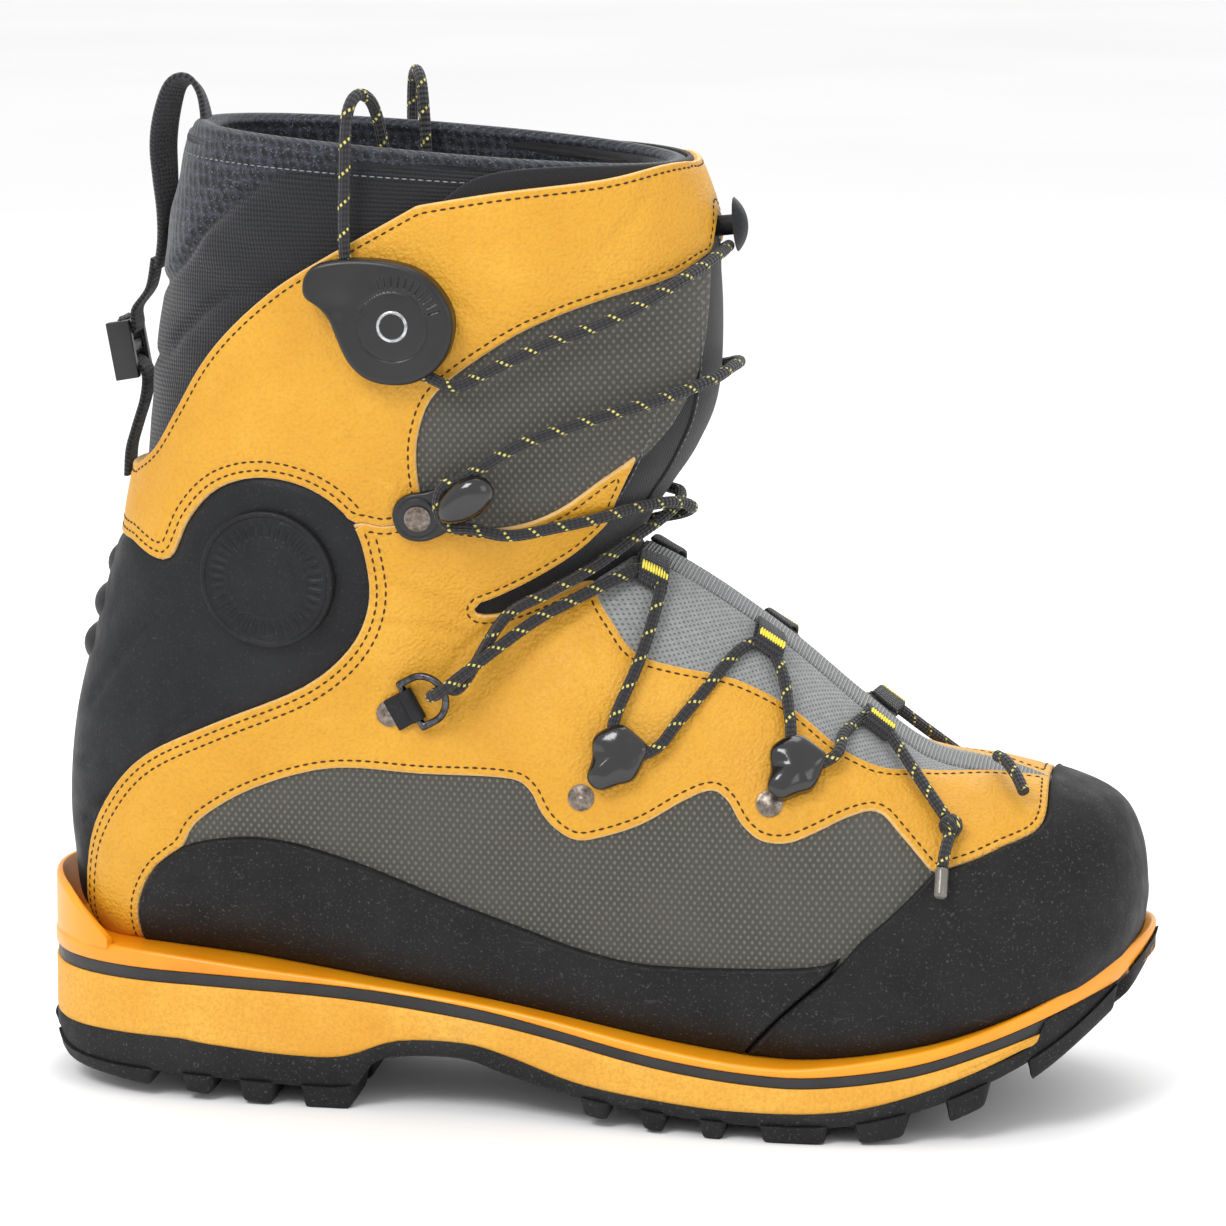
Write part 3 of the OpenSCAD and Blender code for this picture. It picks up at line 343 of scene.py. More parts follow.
# ------------------------------------------------------------------ mesh helpers
def make_mesh(name, verts_mm, faces, material, uv=None, paint=None, smooth=True, body="shell",
              replaces=(), slot=None):
    """A finished mesh piece on a body. uv is per point in metres, paint is one value per point."""
    mesh = bpy.data.meshes.new(name)
    verts = np.asarray(verts_mm, float) * MM
    mesh.from_pydata(verts.tolist(), [], [list(map(int, f)) for f in faces])
    if uv is not None:
        layer = mesh.uv_layers.new(name="UVMap")
        loops = np.zeros(len(mesh.loops), int)
        mesh.loops.foreach_get("vertex_index", loops)
        layer.data.foreach_set("uv", np.asarray(uv, np.float32)[loops].ravel())
    if paint is not None:
        attr = mesh.color_attributes.new("edge", "FLOAT_COLOR", "POINT")
        col = np.ones((len(verts), 4), np.float32)
        col[:, :3] = np.asarray(paint, np.float32)[:, None]
        attr.data.foreach_set("color", col.ravel())
    mesh.validate()
    mesh.polygons.foreach_set("use_smooth", [smooth] * len(mesh.polygons))
    mesh.materials.append(material)
    obj = bpy.data.objects.new(name, mesh)
    bpy.context.scene.collection.objects.link(obj)
    if body:
        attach(obj, body)
    if replaces:
        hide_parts(*replaces)
    return obj


def sharp(obj, degrees=35):
    """Smooth shading that keeps edges sharper than the angle."""
    obj.data.set_sharp_from_angle(angle=math.radians(degrees))
    return obj


class Parts:
    """Collects many small closed shapes into one mesh."""

    def __init__(self):
        self.v, self.f, self.uv, self.count = [], [], [], 0

    def add(self, verts, faces, uv=None):
        verts = np.asarray(verts, float)
        self.v.append(verts)
        self.f.extend([[int(i) + self.count for i in face] for face in faces])
        self.uv.append(np.zeros((len(verts), 2)) if uv is None else np.asarray(uv, float))
        self.count += len(verts)

    def build(self, name, material, **kw):
        return make_mesh(name, np.concatenate(self.v), self.f, material, uv=np.concatenate(self.uv), **kw)


def grid_faces(rows_n, cols_n, wrap=False):
    faces = []
    for i in range(rows_n - 1):
        for j in range(cols_n if wrap else cols_n - 1):
            a, b = i * cols_n + j, i * cols_n + (j + 1) % cols_n
            faces.append([a, b, b + cols_n, a + cols_n])
    return faces


def frames(path):
    """Tangent and two side vectors along a path, without twist."""
    t = np.gradient(path, axis=0)
    t /= np.linalg.norm(t, axis=1, keepdims=True)
    u = np.cross(t[0], [0.3, 0.2, 1.0])
    u /= np.linalg.norm(u)
    us = [u]
    for i in range(1, len(path)):
        u = us[-1] - t[i] * (us[-1] @ t[i])
        us.append(u / np.linalg.norm(u))
    us = np.array(us)
    return t, us, np.cross(t, us)


def tube(path, radius, sides=14, bumps=None):
    """Closed tube along a path. bumps(s, angle) adds to the radius."""
    t, u, w = frames(path)
    s = np.concatenate([[0], np.cumsum(np.linalg.norm(np.diff(path, axis=0), axis=1))])
    ang = np.arange(sides) * 2 * math.pi / sides
    r = np.broadcast_to(np.asarray(radius, float).reshape(-1, 1), (len(path), sides)).copy()
    if bumps is not None:
        r += bumps(s[:, None], ang[None, :])
    ring = (np.cos(ang)[None, :, None] * u[:, None] + np.sin(ang)[None, :, None] * w[:, None])
    verts = (path[:, None] + r[..., None] * ring).reshape(-1, 3)
    faces = grid_faces(len(path), sides, wrap=True)
    uv = np.stack(np.broadcast_arrays(s[:, None] * MM, ang[None, :] / (2 * math.pi)), -1).reshape(-1, 2)
    ends = [path[0], path[-1]]
    base = len(verts)
    verts = np.concatenate([verts, ends])
    uv = np.concatenate([uv, [[0, 0], [s[-1] * MM, 0]]])
    last = (len(path) - 1) * sides
    faces += [[base, (j + 1) % sides, j] for j in range(sides)]
    faces += [[base + 1, last + j, last + (j + 1) % sides] for j in range(sides)]
    return verts, faces, uv


def lathe(profile, around=48, start=0.0, stop=2 * math.pi):
    """Solid of revolution about local z; the profile is (r, z) from axis to axis."""
    p = np.asarray(profile, float)
    ang = np.linspace(start, stop, around, endpoint=False)
    verts = np.stack([p[:, 0][:, None] * np.cos(ang), p[:, 0][:, None] * np.sin(ang),
                      np.repeat(p[:, 1][:, None], around, 1)], -1).reshape(-1, 3)
    return verts, grid_faces(len(p), around, wrap=True)


def inset(outline, d):
    """Moves a closed counter-clockwise outline inward by d."""
    p = np.asarray(outline, float)
    t = np.roll(p, -1, 0) - np.roll(p, 1, 0)
    n = np.stack([-t[:, 1], t[:, 0]], 1) / np.maximum(np.linalg.norm(t, axis=1), 1e-9)[:, None]
    return p + n * d


def ccw(outline):
    p = np.asarray(outline, float)
    area = np.sum(p[:, 0] * np.roll(p[:, 1], -1) - np.roll(p[:, 0], -1) * p[:, 1])
    return p if area > 0 else p[::-1]


def direction(yaw, pitch):
    y, p = math.radians(yaw), math.radians(pitch)
    return np.array([math.cos(p) * math.sin(y), -math.cos(p) * math.cos(y), math.sin(p)])


class Place:
    """A fitting's frame on the upper; local z points out of the leather."""

    def __init__(self, centre, yaw, pitch, turn=0.0):
        n = direction(yaw, pitch)
        ax = np.array([math.cos(math.radians(yaw)), math.sin(math.radians(yaw)), 0.0])
        ay = np.cross(n, ax)
        c, s = math.cos(math.radians(turn)), math.sin(math.radians(turn))
        self.m = np.stack([c * ax + s * ay, -s * ax + c * ay, n], 1)
        self.o = np.asarray(centre, float)

    def at(self, pts):
        return np.atleast_2d(np.asarray(pts, float)) @ self.m.T + self.o


def medial(pts):
    """The same points on the medial side of the last."""
    p = np.array(pts, float)
    p[:, 1] = 2 * np.interp(p[:, 0], CENTRE_Y[:, 0], CENTRE_Y[:, 1]) - p[:, 1]
    return p


def medial_rigid(pts, x):
    p = np.array(pts, float)
    p[:, 1] = 2 * np.interp(x, CENTRE_Y[:, 0], CENTRE_Y[:, 1]) - p[:, 1]
    return p


def turned(faces):
    return [list(f)[::-1] for f in faces]


# ------------------------------------------------------------------ materials
def linear(hex_colour):
    out = []
    for i in (1, 3, 5):
        c = int(hex_colour[i:i + 2], 16) / 255
        out.append(c / 12.92 if c <= 0.04045 else ((c + 0.055) / 1.055) ** 2.4)
    return (*out, 1.0)


class Look:
    """Small helper that builds one procedural material."""

    def __init__(self, name, colour, roughness, **sockets):
        self.mat = bpy.data.materials.new(name)
        self.mat.use_nodes = True
        self.tree = self.mat.node_tree
        self.bsdf = self.tree.nodes["Principled BSDF"]
        self.set("Base Color", linear(colour) if isinstance(colour, str) else colour)
        self.set("Roughness", roughness)
        for key, value in sockets.items():
            self.set(key.replace("_", " "), value)
        self.bump_in = None

    def set(self, socket, value):
        self.bsdf.inputs[socket].default_value = value

    def node(self, kind, **inputs):
        n = self.tree.nodes.new(kind)
        for key, value in inputs.items():
            target = n.inputs[int(key[1:])] if key[0] == "i" and key[1:].isdigit() else n.inputs[
                key.replace("_", " ")]
            self.put(target, value)
        return n

    def put(self, target, value):
        if isinstance(value, bpy.types.NodeSocket):
            self.tree.links.new(value, target)
        else:
            target.default_value = value

    def coords(self, kind="Object", scale=None):
        if kind == "UV":
            out = self.node("ShaderNodeUVMap").outputs["UV"]
        else:
            out = self.node("ShaderNodeTexCoord").outputs[kind]
        if scale is None:
            return out
        m = self.node("ShaderNodeMapping", Vector=out)
        m.inputs["Scale"].default_value = scale
        return m.outputs["Vector"]

    def noise(self, scale, detail=2.0, roughness=0.5, vector=None, distortion=0.0):
        n = self.node("ShaderNodeTexNoise", Vector=vector or self.coords(), Scale=scale, Detail=detail,
                      Roughness=roughness, Distortion=distortion)
        return n.outputs["Fac"]

    def voronoi(self, scale, feature="F1", vector=None, randomness=1.0, out="Distance"):
        n = self.tree.nodes.new("ShaderNodeTexVoronoi")
        n.feature = feature
        self.put(n.inputs["Vector"], vector or self.coords())
        n.inputs["Scale"].default_value = scale
        n.inputs["Randomness"].default_value = randomness
        return n.outputs[out]

    def math(self, op, a, b=0.0, c=0.0):
        n = self.tree.nodes.new("ShaderNodeMath")
        n.operation = op
        for i, value in enumerate((a, b, c)):
            if i < len(n.inputs):
                self.put(n.inputs[i], value)
        return n.outputs[0]

    def wave(self, value, pitch, op="SINE"):
        return self.math(op, self.math("MULTIPLY", value, 2 * math.pi / pitch))

    def ramp(self, fac, stops):
        n = self.node("ShaderNodeValToRGB", Fac=fac)
        e = n.color_ramp.elements
        while len(e) < len(stops):
            e.new(0.5)
        for el, (at, col) in zip(e, stops):
            el.position = at
            el.color = linear(col) if isinstance(col, str) else (col, col, col, 1.0)
        return n.outputs["Color"]

    def mix(self, fac, a, b, mode="MIX"):
        n = self.tree.nodes.new("ShaderNodeMix")
        n.data_type = "RGBA"
        n.blend_type = mode
        self.put(n.inputs[0], fac)
        self.put(n.inputs[6], linear(a) if isinstance(a, str) else a)
        self.put(n.inputs[7], linear(b) if isinstance(b, str) else b)
        return n.outputs[2]

    def edge(self):
        n = self.tree.nodes.new("ShaderNodeAttribute")
        n.attribute_name = "edge"
        return n.outputs["Fac"]

    def axis(self, which, vector):
        n = self.node("ShaderNodeSeparateXYZ", Vector=vector)
        return n.outputs[which]

    def bump(self, height_socket, distance, strength=1.0):
        n = self.node("ShaderNodeBump", Height=height_socket, Distance=distance, Strength=strength)
        if self.bump_in is not None:
            self.tree.links.new(self.bump_in, n.inputs["Normal"])
        self.bump_in = n.outputs["Normal"]
        self.tree.links.new(self.bump_in, self.bsdf.inputs["Normal"])

    def colour(self, socket):
        self.tree.links.new(socket, self.bsdf.inputs["Base Color"])

    def rough(self, socket):
        self.tree.links.new(socket, self.bsdf.inputs["Roughness"])


def leather():
    m = Look("yellow_leather", "#DCA028", 0.5, Specular_IOR_Level=0.4)
    tone = m.ramp(m.noise(26, 3, 0.6), [(0.25, "#C68D1E"), (0.55, "#D09826"), (0.8, "#D9A335")])
    tone = m.mix(m.ramp(m.voronoi(1100, "SMOOTH_F1"), [(0.3, 0.0), (0.75, 0.28)]), tone, "#B0761A")
    scuff = m.ramp(m.noise(75, 5, 0.75, distortion=0.4), [(0.60, 0.0), (0.72, 0.25)])
    tone = m.mix(scuff, tone, "#E3B04A")
    # Painted highlight: the leather is made lighter along its cut edge, where the edge paint is low.
    rim = m.ramp(m.edge(), [(0.0, 1.0), (0.05, 0.7), (0.11, 0.0)])
    tone = m.mix(m.math("MULTIPLY", rim, 0.8), tone, "#E2C28C")
    m.colour(tone)
    m.rough(m.ramp(m.noise(150, 3), [(0.3, 0.42), (0.75, 0.60)]))
    m.bump(m.voronoi(1100, "SMOOTH_F1"), 0.0005, 0.75)
    m.bump(m.noise(1700, 2), 0.00016, 0.4)
    m.bump(m.noise(90, 4, 0.65, distortion=0.8), 0.0016, 0.35)
    return m.mat


def weave(name, dark, light, dot):
    """Ballistic weave with raised light dots in staggered rows."""
    m = Look(name, dark, 0.6, Specular_IOR_Level=0.45, Sheen_Weight=0.1)
    uv = m.coords("UV")
    wander = m.math("MULTIPLY", m.noise(70, 2, vector=uv), 0.0009)
    u, v = m.math("ADD", m.axis(0, uv), wander), m.axis(1, uv)
    ku = m.math("MULTIPLY", u, 2 * math.pi / 0.0023)
    kv = m.math("MULTIPLY", v, 2 * math.pi / 0.0030)
    one = m.math("ADD", m.math("COSINE", m.math("ADD", ku, kv)), 1.0)
    two = m.math("ADD", m.math("COSINE", m.math("SUBTRACT", ku, kv)), 1.0)
    bead = m.math("MULTIPLY", m.math("MULTIPLY", one, two), 0.25)
    threads = m.math("MULTIPLY", m.wave(u, 0.0006),
                     m.wave(v, 0.0006))
    tone = m.ramp(bead, [(0.2, dark), (0.5, light), (0.85, dot)])
    tone = m.mix(m.ramp(m.noise(40, 4), [(0.35, 0.0), (0.8, 0.4)]), tone, light)
    m.colour(m.mix(m.ramp(threads, [(0.0, 0.35), (0.5, 0.0)]), tone, "#3A3A37"))
    m.bump(bead, 0.0005, 0.8)
    m.bump(threads, 0.00018, 0.6)
    return m.mat


def ribbed():
    m = Look("ribbed_fabric", "#A6A7AA", 0.65, Specular_IOR_Level=0.4, Sheen_Weight=0.15)
    uv = m.coords("UV")
    wobble = m.math("MULTIPLY", m.noise(260, 2, vector=uv), 0.0005)
    v = m.math("ADD", m.axis(1, uv), wobble)
    rib = m.wave(v, 0.0012)
    thread = m.wave(m.axis(0, uv), 0.0008)
    half = m.math("MULTIPLY_ADD", rib, 0.5, 0.5)
    tone = m.ramp(half, [(0.1, "#7B7D7E"), (0.5, "#949696"), (0.95, "#A9ABAA")])
    m.colour(m.mix(m.ramp(m.noise(90, 3), [(0.4, 0.0), (0.8, 0.4)]), tone, "#8C8D92"))
    m.bump(rib, 0.0006, 0.9)
    m.bump(thread, 0.00018, 0.5)
    return m.mat


def dotted():
    """Stretch mesh with small dark holes in staggered rows."""
    m = Look("dotted_mesh", "#88898C", 0.7, Specular_IOR_Level=0.35, Sheen_Weight=0.15)
    uv = m.coords("UV")
    pitch = 2 * math.pi / 0.0019
    a = m.math("COSINE", m.math("MULTIPLY", m.math("ADD", m.axis(0, uv), m.axis(1, uv)), pitch))
    b = m.math("COSINE", m.math("MULTIPLY", m.math("SUBTRACT", m.axis(0, uv), m.axis(1, uv)), pitch))
    hole = m.math("MULTIPLY", m.math("MULTIPLY", m.math("ADD", a, 1.0), m.math("ADD", b, 1.0)), 0.25)
    dark = m.ramp(hole, [(0.5, 0.0), (0.7, 0.85)])
    base = m.ramp(m.noise(600, 3), [(0.3, "#7C7E7E"), (0.7, "#8D8F8F")])
    m.colour(m.mix(dark, base, "#5A5C5D"))
    m.bump(m.math("MULTIPLY", dark, -1.0), 0.0005, 0.8)
    m.bump(m.noise(2200, 2), 0.00015, 0.5)
    return m.mat


def rubber(name="black_rubber", base="#0F0F10", worn="#1A1A1B", roughness=0.6, speck=0.3):
    m = Look(name, base, roughness, Specular_IOR_Level=0.25)
    tone = m.ramp(m.noise(32, 4, 0.6), [(0.3, base), (0.75, worn)])
    tone = m.mix(m.ramp(m.noise(1300, 2), [(0.60, 0.0), (0.76, speck)]), tone, "#77777A")
    scratch = m.noise(48, 4, 0.8, vector=m.coords("Object", (1, 1, 6)), distortion=0.7)
    tone = m.mix(m.ramp(scratch, [(0.64, 0.0), (0.74, 0.3)]), tone, "#5A5A5C")
    m.colour(tone)
    m.rough(m.ramp(m.noise(120, 3), [(0.3, roughness - 0.08), (0.75, roughness + 0.12)]))
    m.bump(m.noise(1500, 2), 0.0002, 0.6)
    m.bump(m.voronoi(420, "SMOOTH_F1"), 0.0002, 0.25)
    return m.mat


def foam():
    m = Look("yellow_foam", "#ECB03E", 0.6, Specular_IOR_Level=0.35)
    speck = m.ramp(m.noise(950, 3, 0.7), [(0.44, 0.0), (0.6, 0.5)])
    tone = m.ramp(m.noise(40, 3), [(0.3, "#D6982E"), (0.7, "#E2AC45")])
    tone = m.mix(speck, tone, "#C4892F")
    grime = m.ramp(m.noise(36, 5, 0.7), [(0.60, 0.0), (0.8, 0.3)])
    m.colour(m.mix(grime, tone, "#8F7A4E"))
    m.bump(m.noise(1100, 3, 0.7), 0.0003, 0.7)
    return m.mat


def tpu():
    m = Look("orange_tpu", "#E8950F", 0.34, Specular_IOR_Level=0.5)
    tone = m.ramp(m.noise(30, 3), [(0.3, "#E3880C"), (0.7, "#F0A016")])
    m.colour(m.mix(m.ramp(m.noise(160, 4, 0.7), [(0.6, 0.0), (0.8, 0.25)]), tone, "#C77A16"))
    m.bump(m.noise(1400, 2), 0.0001, 0.4)
    return m.mat


def knit(name="charcoal_mesh", base="#0E0F13", light="#343743", pitch=0.0030):
    """Foam-backed fabric: open mesh where the edge paint is 1 and a ribbed knit where it is 0."""
    m = Look(name, base, 0.78, Specular_IOR_Level=0.3, Sheen_Weight=0.25, Sheen_Roughness=0.5)
    uv = m.coords("UV")
    cells = m.voronoi(1.0, "F1", vector=m.coords("UV", (1 / pitch, 1 / pitch, 1)), randomness=0.3)
    wobble = m.math("MULTIPLY", m.noise(400, 2, vector=uv), 0.0006)
    rib = m.math("SINE", m.math("MULTIPLY", m.math("ADD", m.axis(1, uv), wobble), 2 * math.pi / 0.00125))
    purl = m.wave(m.axis(0, uv), 0.0011)
    rib = m.math("MULTIPLY_ADD", m.math("ADD", rib, m.math("MULTIPLY", purl, 0.35)), 0.4, 0.5)
    open_tone = m.ramp(cells, [(0.16, "#040405"), (0.34, base), (0.7, light)])
    rib_tone = m.ramp(rib, [(0.1, "#060608"), (0.55, base), (0.95, "#1E2027")])
    tone = m.mix(m.edge(), rib_tone, open_tone)
    glints = m.ramp(m.noise(1500, 2), [(0.58, 0.0), (0.68, 0.8)])
    tone = m.mix(m.math("MULTIPLY", glints, m.edge()), tone, "#5C5F6C")
    m.colour(m.mix(m.ramp(m.noise(45, 3), [(0.4, 0.0), (0.8, 0.25)]), tone, "#17181D"))
    relief = m.mix(m.edge(), rib, cells)
    m.bump(relief, 0.0005, 0.7)
    m.bump(m.noise(1800, 2), 0.00015, 0.4)
    return m.mat


def felt():
    m = Look("insole_felt", "#3A3C42", 0.85, Specular_IOR_Level=0.2, Sheen_Weight=0.3)
    m.colour(m.ramp(m.noise(900, 4, 0.7), [(0.3, "#2A2B30"), (0.7, "#4A4C53")]))
    m.bump(m.noise(1300, 3, 0.7), 0.0004, 0.7)
    return m.mat


def plain_fabric(name="black_fabric", base="#0C0C0F", light="#1B1B20"):
    m = Look(name, base, 0.75, Specular_IOR_Level=0.3, Sheen_Weight=0.2)
    uv = m.coords("UV")
    a = m.wave(m.axis(0, uv), 0.0009)
    b = m.wave(m.axis(1, uv), 0.0009)
    t = m.math("MULTIPLY", a, b)
    m.colour(m.ramp(m.math("MULTIPLY_ADD", t, 0.5, 0.5), [(0.2, base), (0.9, light)]))
    m.bump(t, 0.00022, 0.6)
    m.bump(m.noise(120, 3), 0.0008, 0.3)
    return m.mat


def webbing():
    """Flat woven tape: fine cross ribs and a denser edge."""
    m = Look("black_webbing", "#19191C", 0.68, Specular_IOR_Level=0.35, Sheen_Weight=0.2)
    uv = m.coords("UV")
    across = m.wave(m.axis(1, uv), 0.0016)
    zig = m.math("ADD", m.axis(0, uv), m.math("MULTIPLY", m.math("ABSOLUTE", across), 0.0006))
    rib = m.math("SINE", m.math("MULTIPLY", zig, 2 * math.pi / 0.0013))
    m.colour(m.ramp(m.math("MULTIPLY_ADD", rib, 0.5, 0.5), [(0.1, "#0C0C0E"), (0.9, "#303036")]))
    m.bump(rib, 0.0003, 0.8)
    m.bump(across, 0.0002, 0.5)
    return m.mat


def plastic(name, base, roughness, light=None, coat=0.0):
    m = Look(name, base, roughness, Specular_IOR_Level=0.5, Coat_Weight=coat, Coat_Roughness=0.12)
    m.colour(m.ramp(m.noise(70, 3), [(0.3, base), (0.75, light or base)]))
    m.rough(m.ramp(m.noise(200, 4, 0.7), [(0.35, roughness - 0.05), (0.75, roughness + 0.10)]))
    m.bump(m.noise(1600, 2), 0.00006, 0.5)
    m.bump(m.noise(35, 4, 0.7, distortion=0.5), 0.0006, 0.2)
    return m.mat


def metal(name, base, dark, roughness):
    m = Look(name, base, roughness, Metallic=1.0)
    m.colour(m.ramp(m.noise(480, 4, 0.7), [(0.35, dark), (0.7, base)]))
    m.rough(m.ramp(m.noise(700, 3), [(0.3, roughness - 0.08), (0.7, roughness + 0.14)]))
    m.bump(m.noise(900, 3), 0.00006, 0.5)
    return m.mat


def braid():
    """Round black lace with pairs of pale yellow flecks."""
    m = Look("lace_braid", "#141416", 0.6, Specular_IOR_Level=0.4, Sheen_Weight=0.15)
    uv = m.coords("UV")
    s, a = m.axis(0, uv), m.axis(1, uv)
    turns = m.math("MULTIPLY", s, 1 / 0.0032)
    six = m.math("MULTIPLY", a, 6.0)
    left = m.math("SINE", m.math("MULTIPLY", m.math("ADD", six, turns), 2 * math.pi))
    right = m.math("SINE", m.math("MULTIPLY", m.math("SUBTRACT", six, turns), 2 * math.pi))
    strand = m.math("MULTIPLY", left, right)
    helix = m.math("FRACT", m.math("SUBTRACT", a, m.math("MULTIPLY", s, 1 / 0.0086)))
    stripe = m.ramp(helix, [(0.0, 0.0), (0.44, 0.0), (0.46, 1.0), (0.56, 1.0), (0.58, 0.0)])
    dash = m.ramp(m.math("MULTIPLY_ADD", left, 0.5, 0.5), [(0.45, 0.0), (0.6, 1.0)])
    base = m.ramp(m.math("MULTIPLY_ADD", strand, 0.5, 0.5), [(0.1, "#09090B"), (0.9, "#2A2A2F")])
    m.colour(m.mix(m.math("MULTIPLY", stripe, dash), base, "#DCD06A"))
    m.bump(strand, 0.0004, 0.8)
    return m.mat


def thread(name, base, light):
    m = Look(name, base, 0.6, Specular_IOR_Level=0.4)
    m.colour(m.ramp(m.noise(1500, 2), [(0.3, base), (0.7, light)]))
    m.bump(m.noise(2500, 2), 0.0001, 0.6)
    return m.mat


MAT = {
    "leather": leather(),
    "weave": weave("grey_weave", "#403F39", "#5A5850", "#807D70"),
    "ribbed": ribbed(),
    "dotted": dotted(),
    "rubber": rubber(),
    "tread": rubber("tread_rubber", "#121213", "#222223", 0.66, 0.3),
    "moulded": rubber("moulded_rubber", "#121316", "#1C1D20", 0.5, 0.12),
    "foam": foam(),
    "tpu": tpu(),
    "stripe": plastic("black_stripe", "#1C1C1E", 0.5, "#2A2A2D"),
    "knit": knit(),
    "felt": felt(),
    "lining": plain_fabric(),
    "webbing": webbing(),
    "plastic": plastic("black_plastic", "#0F0F11", 0.36, "#18181A"),
    "gloss": plastic("gloss_black_plastic", "#0C0C0E", 0.16, "#161619", coat=0.5),
    "gunmetal": metal("gunmetal", "#9A8F86", "#564D46", 0.36),
    "steel": metal("bright_steel", "#D9DADC", "#97989B", 0.25),
    "wire": metal("dark_wire", "#6A6B70", "#34353A", 0.22),
    "braid": braid(),
    "stitch": thread("brown_thread", "#241509", "#40270F"),
    "light_stitch": thread("grey_thread", "#6B6C70", "#8E8F94"),
    "yellow_stitch": thread("yellow_thread", "#D8C22E", "#EEE05C"),
    "clear": plastic("clear_plastic", "#4E4A44", 0.2, "#7A766E", coat=0.4),
    "board": plastic("fibre_board", "#7C6040", 0.8, "#8D7050"),
}


# ------------------------------------------------------------------ upper: panels on the last
THREADS = {}
THREAD_PITCH = 2.7
ON_LINE = 1e-6
SEAM_INSET = 2.3
COUNTER_SEAM = 4.9
COUNTER_SEAM_FROM = 3.4
SEAM_DEPTH, SEAM_WIDTH = 0.3, 0.6


def weld(obj, distance=0.00001):
    bm = bmesh.new()
    bm.from_mesh(obj.data)
    bmesh.ops.remove_doubles(bm, verts=bm.verts, dist=distance)
    bmesh.ops.dissolve_degenerate(bm, edges=bm.edges, dist=distance / 10)
    bmesh.ops.recalc_face_normals(bm, faces=bm.faces)
    bm.to_mesh(obj.data)
    bm.free()
    return obj


def rim(f, thickness, square=0.55, radius=0.8):
    """Height of a cut edge: a short wall, then a rounded shoulder."""
    t = np.clip(f / radius, 0, 1)
    return thickness * (square + (1 - square) * np.sqrt(1 - (1 - t) ** 2))


def panel(name, fields, thickness, material, *, low=-0.3, uv="side", rows=(), relief=None, replaces=(),
          slot=None, square=0.55, radius=0.8, levels=(), second=None, thread_key="stitch", k=0.0):
    """A closed layer on the last. fields(grid) is the distance inside the piece's edge, and rows are the
    distances at which it is sewn. second is (field, distance, least inset) of one more seam."""
    data = dict(BASE.flat())
    data["f"] = fields(data)
    data["g"] = second[0](data) if second else data["f"]
    tri = BASE.tri
    data, tri = keep(data, tri, (data["f"][tri] > 0).any(1))
    for level in sorted({0.0, radius * 0.3, radius, *levels, *rows}):
        data, tri = split(data, tri, "f", level)
    if second:
        data, tri = split(data, tri, "g", second[1])
    data, tri = keep(data, tri, data["f"][tri].mean(1) > 0)
    f = np.maximum(data["f"], 0)
    normal = data["n"] / np.linalg.norm(data["n"], axis=1, keepdims=True)
    top = k + rim(f, thickness, square, radius)
    for at in rows:
        top = top - SEAM_DEPTH * np.exp(-((f - at) / SEAM_WIDTH) ** 2)
    if second:
        groove = np.exp(-((data["g"] - second[1]) / SEAM_WIDTH) ** 2)
        top = top - SEAM_DEPTH * groove * (f > second[2])
    if relief is not None:
        top = top + relief(data, f)
    outer = data["p"] + normal * top[:, None]
    inner = data["p"] + normal * low
    count = len(f)
    faces = [list(t) for t in tri] + [[t[0] + count, t[2] + count, t[1] + count] for t in tri]
    faces += [[a, a + count, b + count, b] for a, b in border_edges(tri)]
    uv_mm = data["wrap"] if uv == "wrap" else data["p"][:, [0, 2]]
    # Edge paint: 0 at the cut edge, 1 from 6 mm in and on the underside; the leather material paints a
    # highlight where it is low.
    paint = np.concatenate([np.clip(f / 6.0, 0, 1), np.ones(count)])
    obj = make_mesh(name, np.concatenate([outer, inner]), faces, material, uv=np.tile(uv_mm, (2, 1)) * MM,
                    paint=paint, replaces=replaces, slot=slot)
    sharp(weld(obj), 50)
    for at in rows:
        sew(tri, outer, normal, np.abs(data["f"] - at) < ON_LINE, thread_key)
    if second:
        on_second = (np.abs(data["g"] - second[1]) < ON_LINE) & (f > second[2])
        sew(tri, outer, normal, on_second, thread_key)
    return obj


def sew(tri, outer, normal, on_line, key, pitch=THREAD_PITCH):
    """Thread dashes along the marked points of the surface."""
    e = np.concatenate([tri[:, [0, 1]], tri[:, [1, 2]], tri[:, [2, 0]]])
    e = np.unique(np.sort(e[on_line[e].all(1)], axis=1), axis=0)
    for line in chains(e):
        sew_path(outer[line], normal[line], key, pitch)


def sew_path(path, normals, key, pitch=THREAD_PITCH, gap=0.35, half=0.3):
    s = np.concatenate([[0], np.cumsum(np.linalg.norm(np.diff(path, axis=0), axis=1))])
    if s[-1] < 2.0 * pitch:
        return
    count = int(s[-1] // pitch)
    step = s[-1] / count
    parts = THREADS.setdefault(key, Parts())
    for i in range(count):
        at = np.linspace(i * step + gap, (i + 1) * step - gap, 5)
        pts = np.stack([np.interp(at, s, path[:, k]) for k in range(3)], 1)
        nn = np.stack([np.interp(at, s, normals[:, k]) for k in range(3)], 1)
        lift = np.array([-0.14, 0.1, 0.16, 0.1, -0.14])
        dash(parts, pts + nn * lift[:, None], nn, half)


def dash(parts, path, normals, half):
    """One thread dash: five small hexagon rings along a path."""
    t = np.gradient(path, axis=0)
    t /= np.maximum(np.linalg.norm(t, axis=1, keepdims=True), 1e-9)
    side = np.cross(t, normals)
    side /= np.maximum(np.linalg.norm(side, axis=1, keepdims=True), 1e-9)
    ang = np.arange(6) * math.pi / 3
    size = np.array([0.45, 0.9, 1.0, 0.9, 0.45]) * half
    ring = side[:, None] * np.cos(ang)[None, :, None] + normals[:, None] * np.sin(ang)[None, :, None] * 0.8
    verts = (path[:, None] + ring * size[:, None, None]).reshape(-1, 3)
    parts.add(verts, grid_faces(5, 6, wrap=True) + [[5, 4, 3, 2, 1, 0], list(range(24, 30))])


def outline(*pieces):
    return np.concatenate([spline(p) if len(p) > 2 else np.asarray(p, float) for p in pieces])


def rev(points):
    return [list(p) for p in reversed(points)]


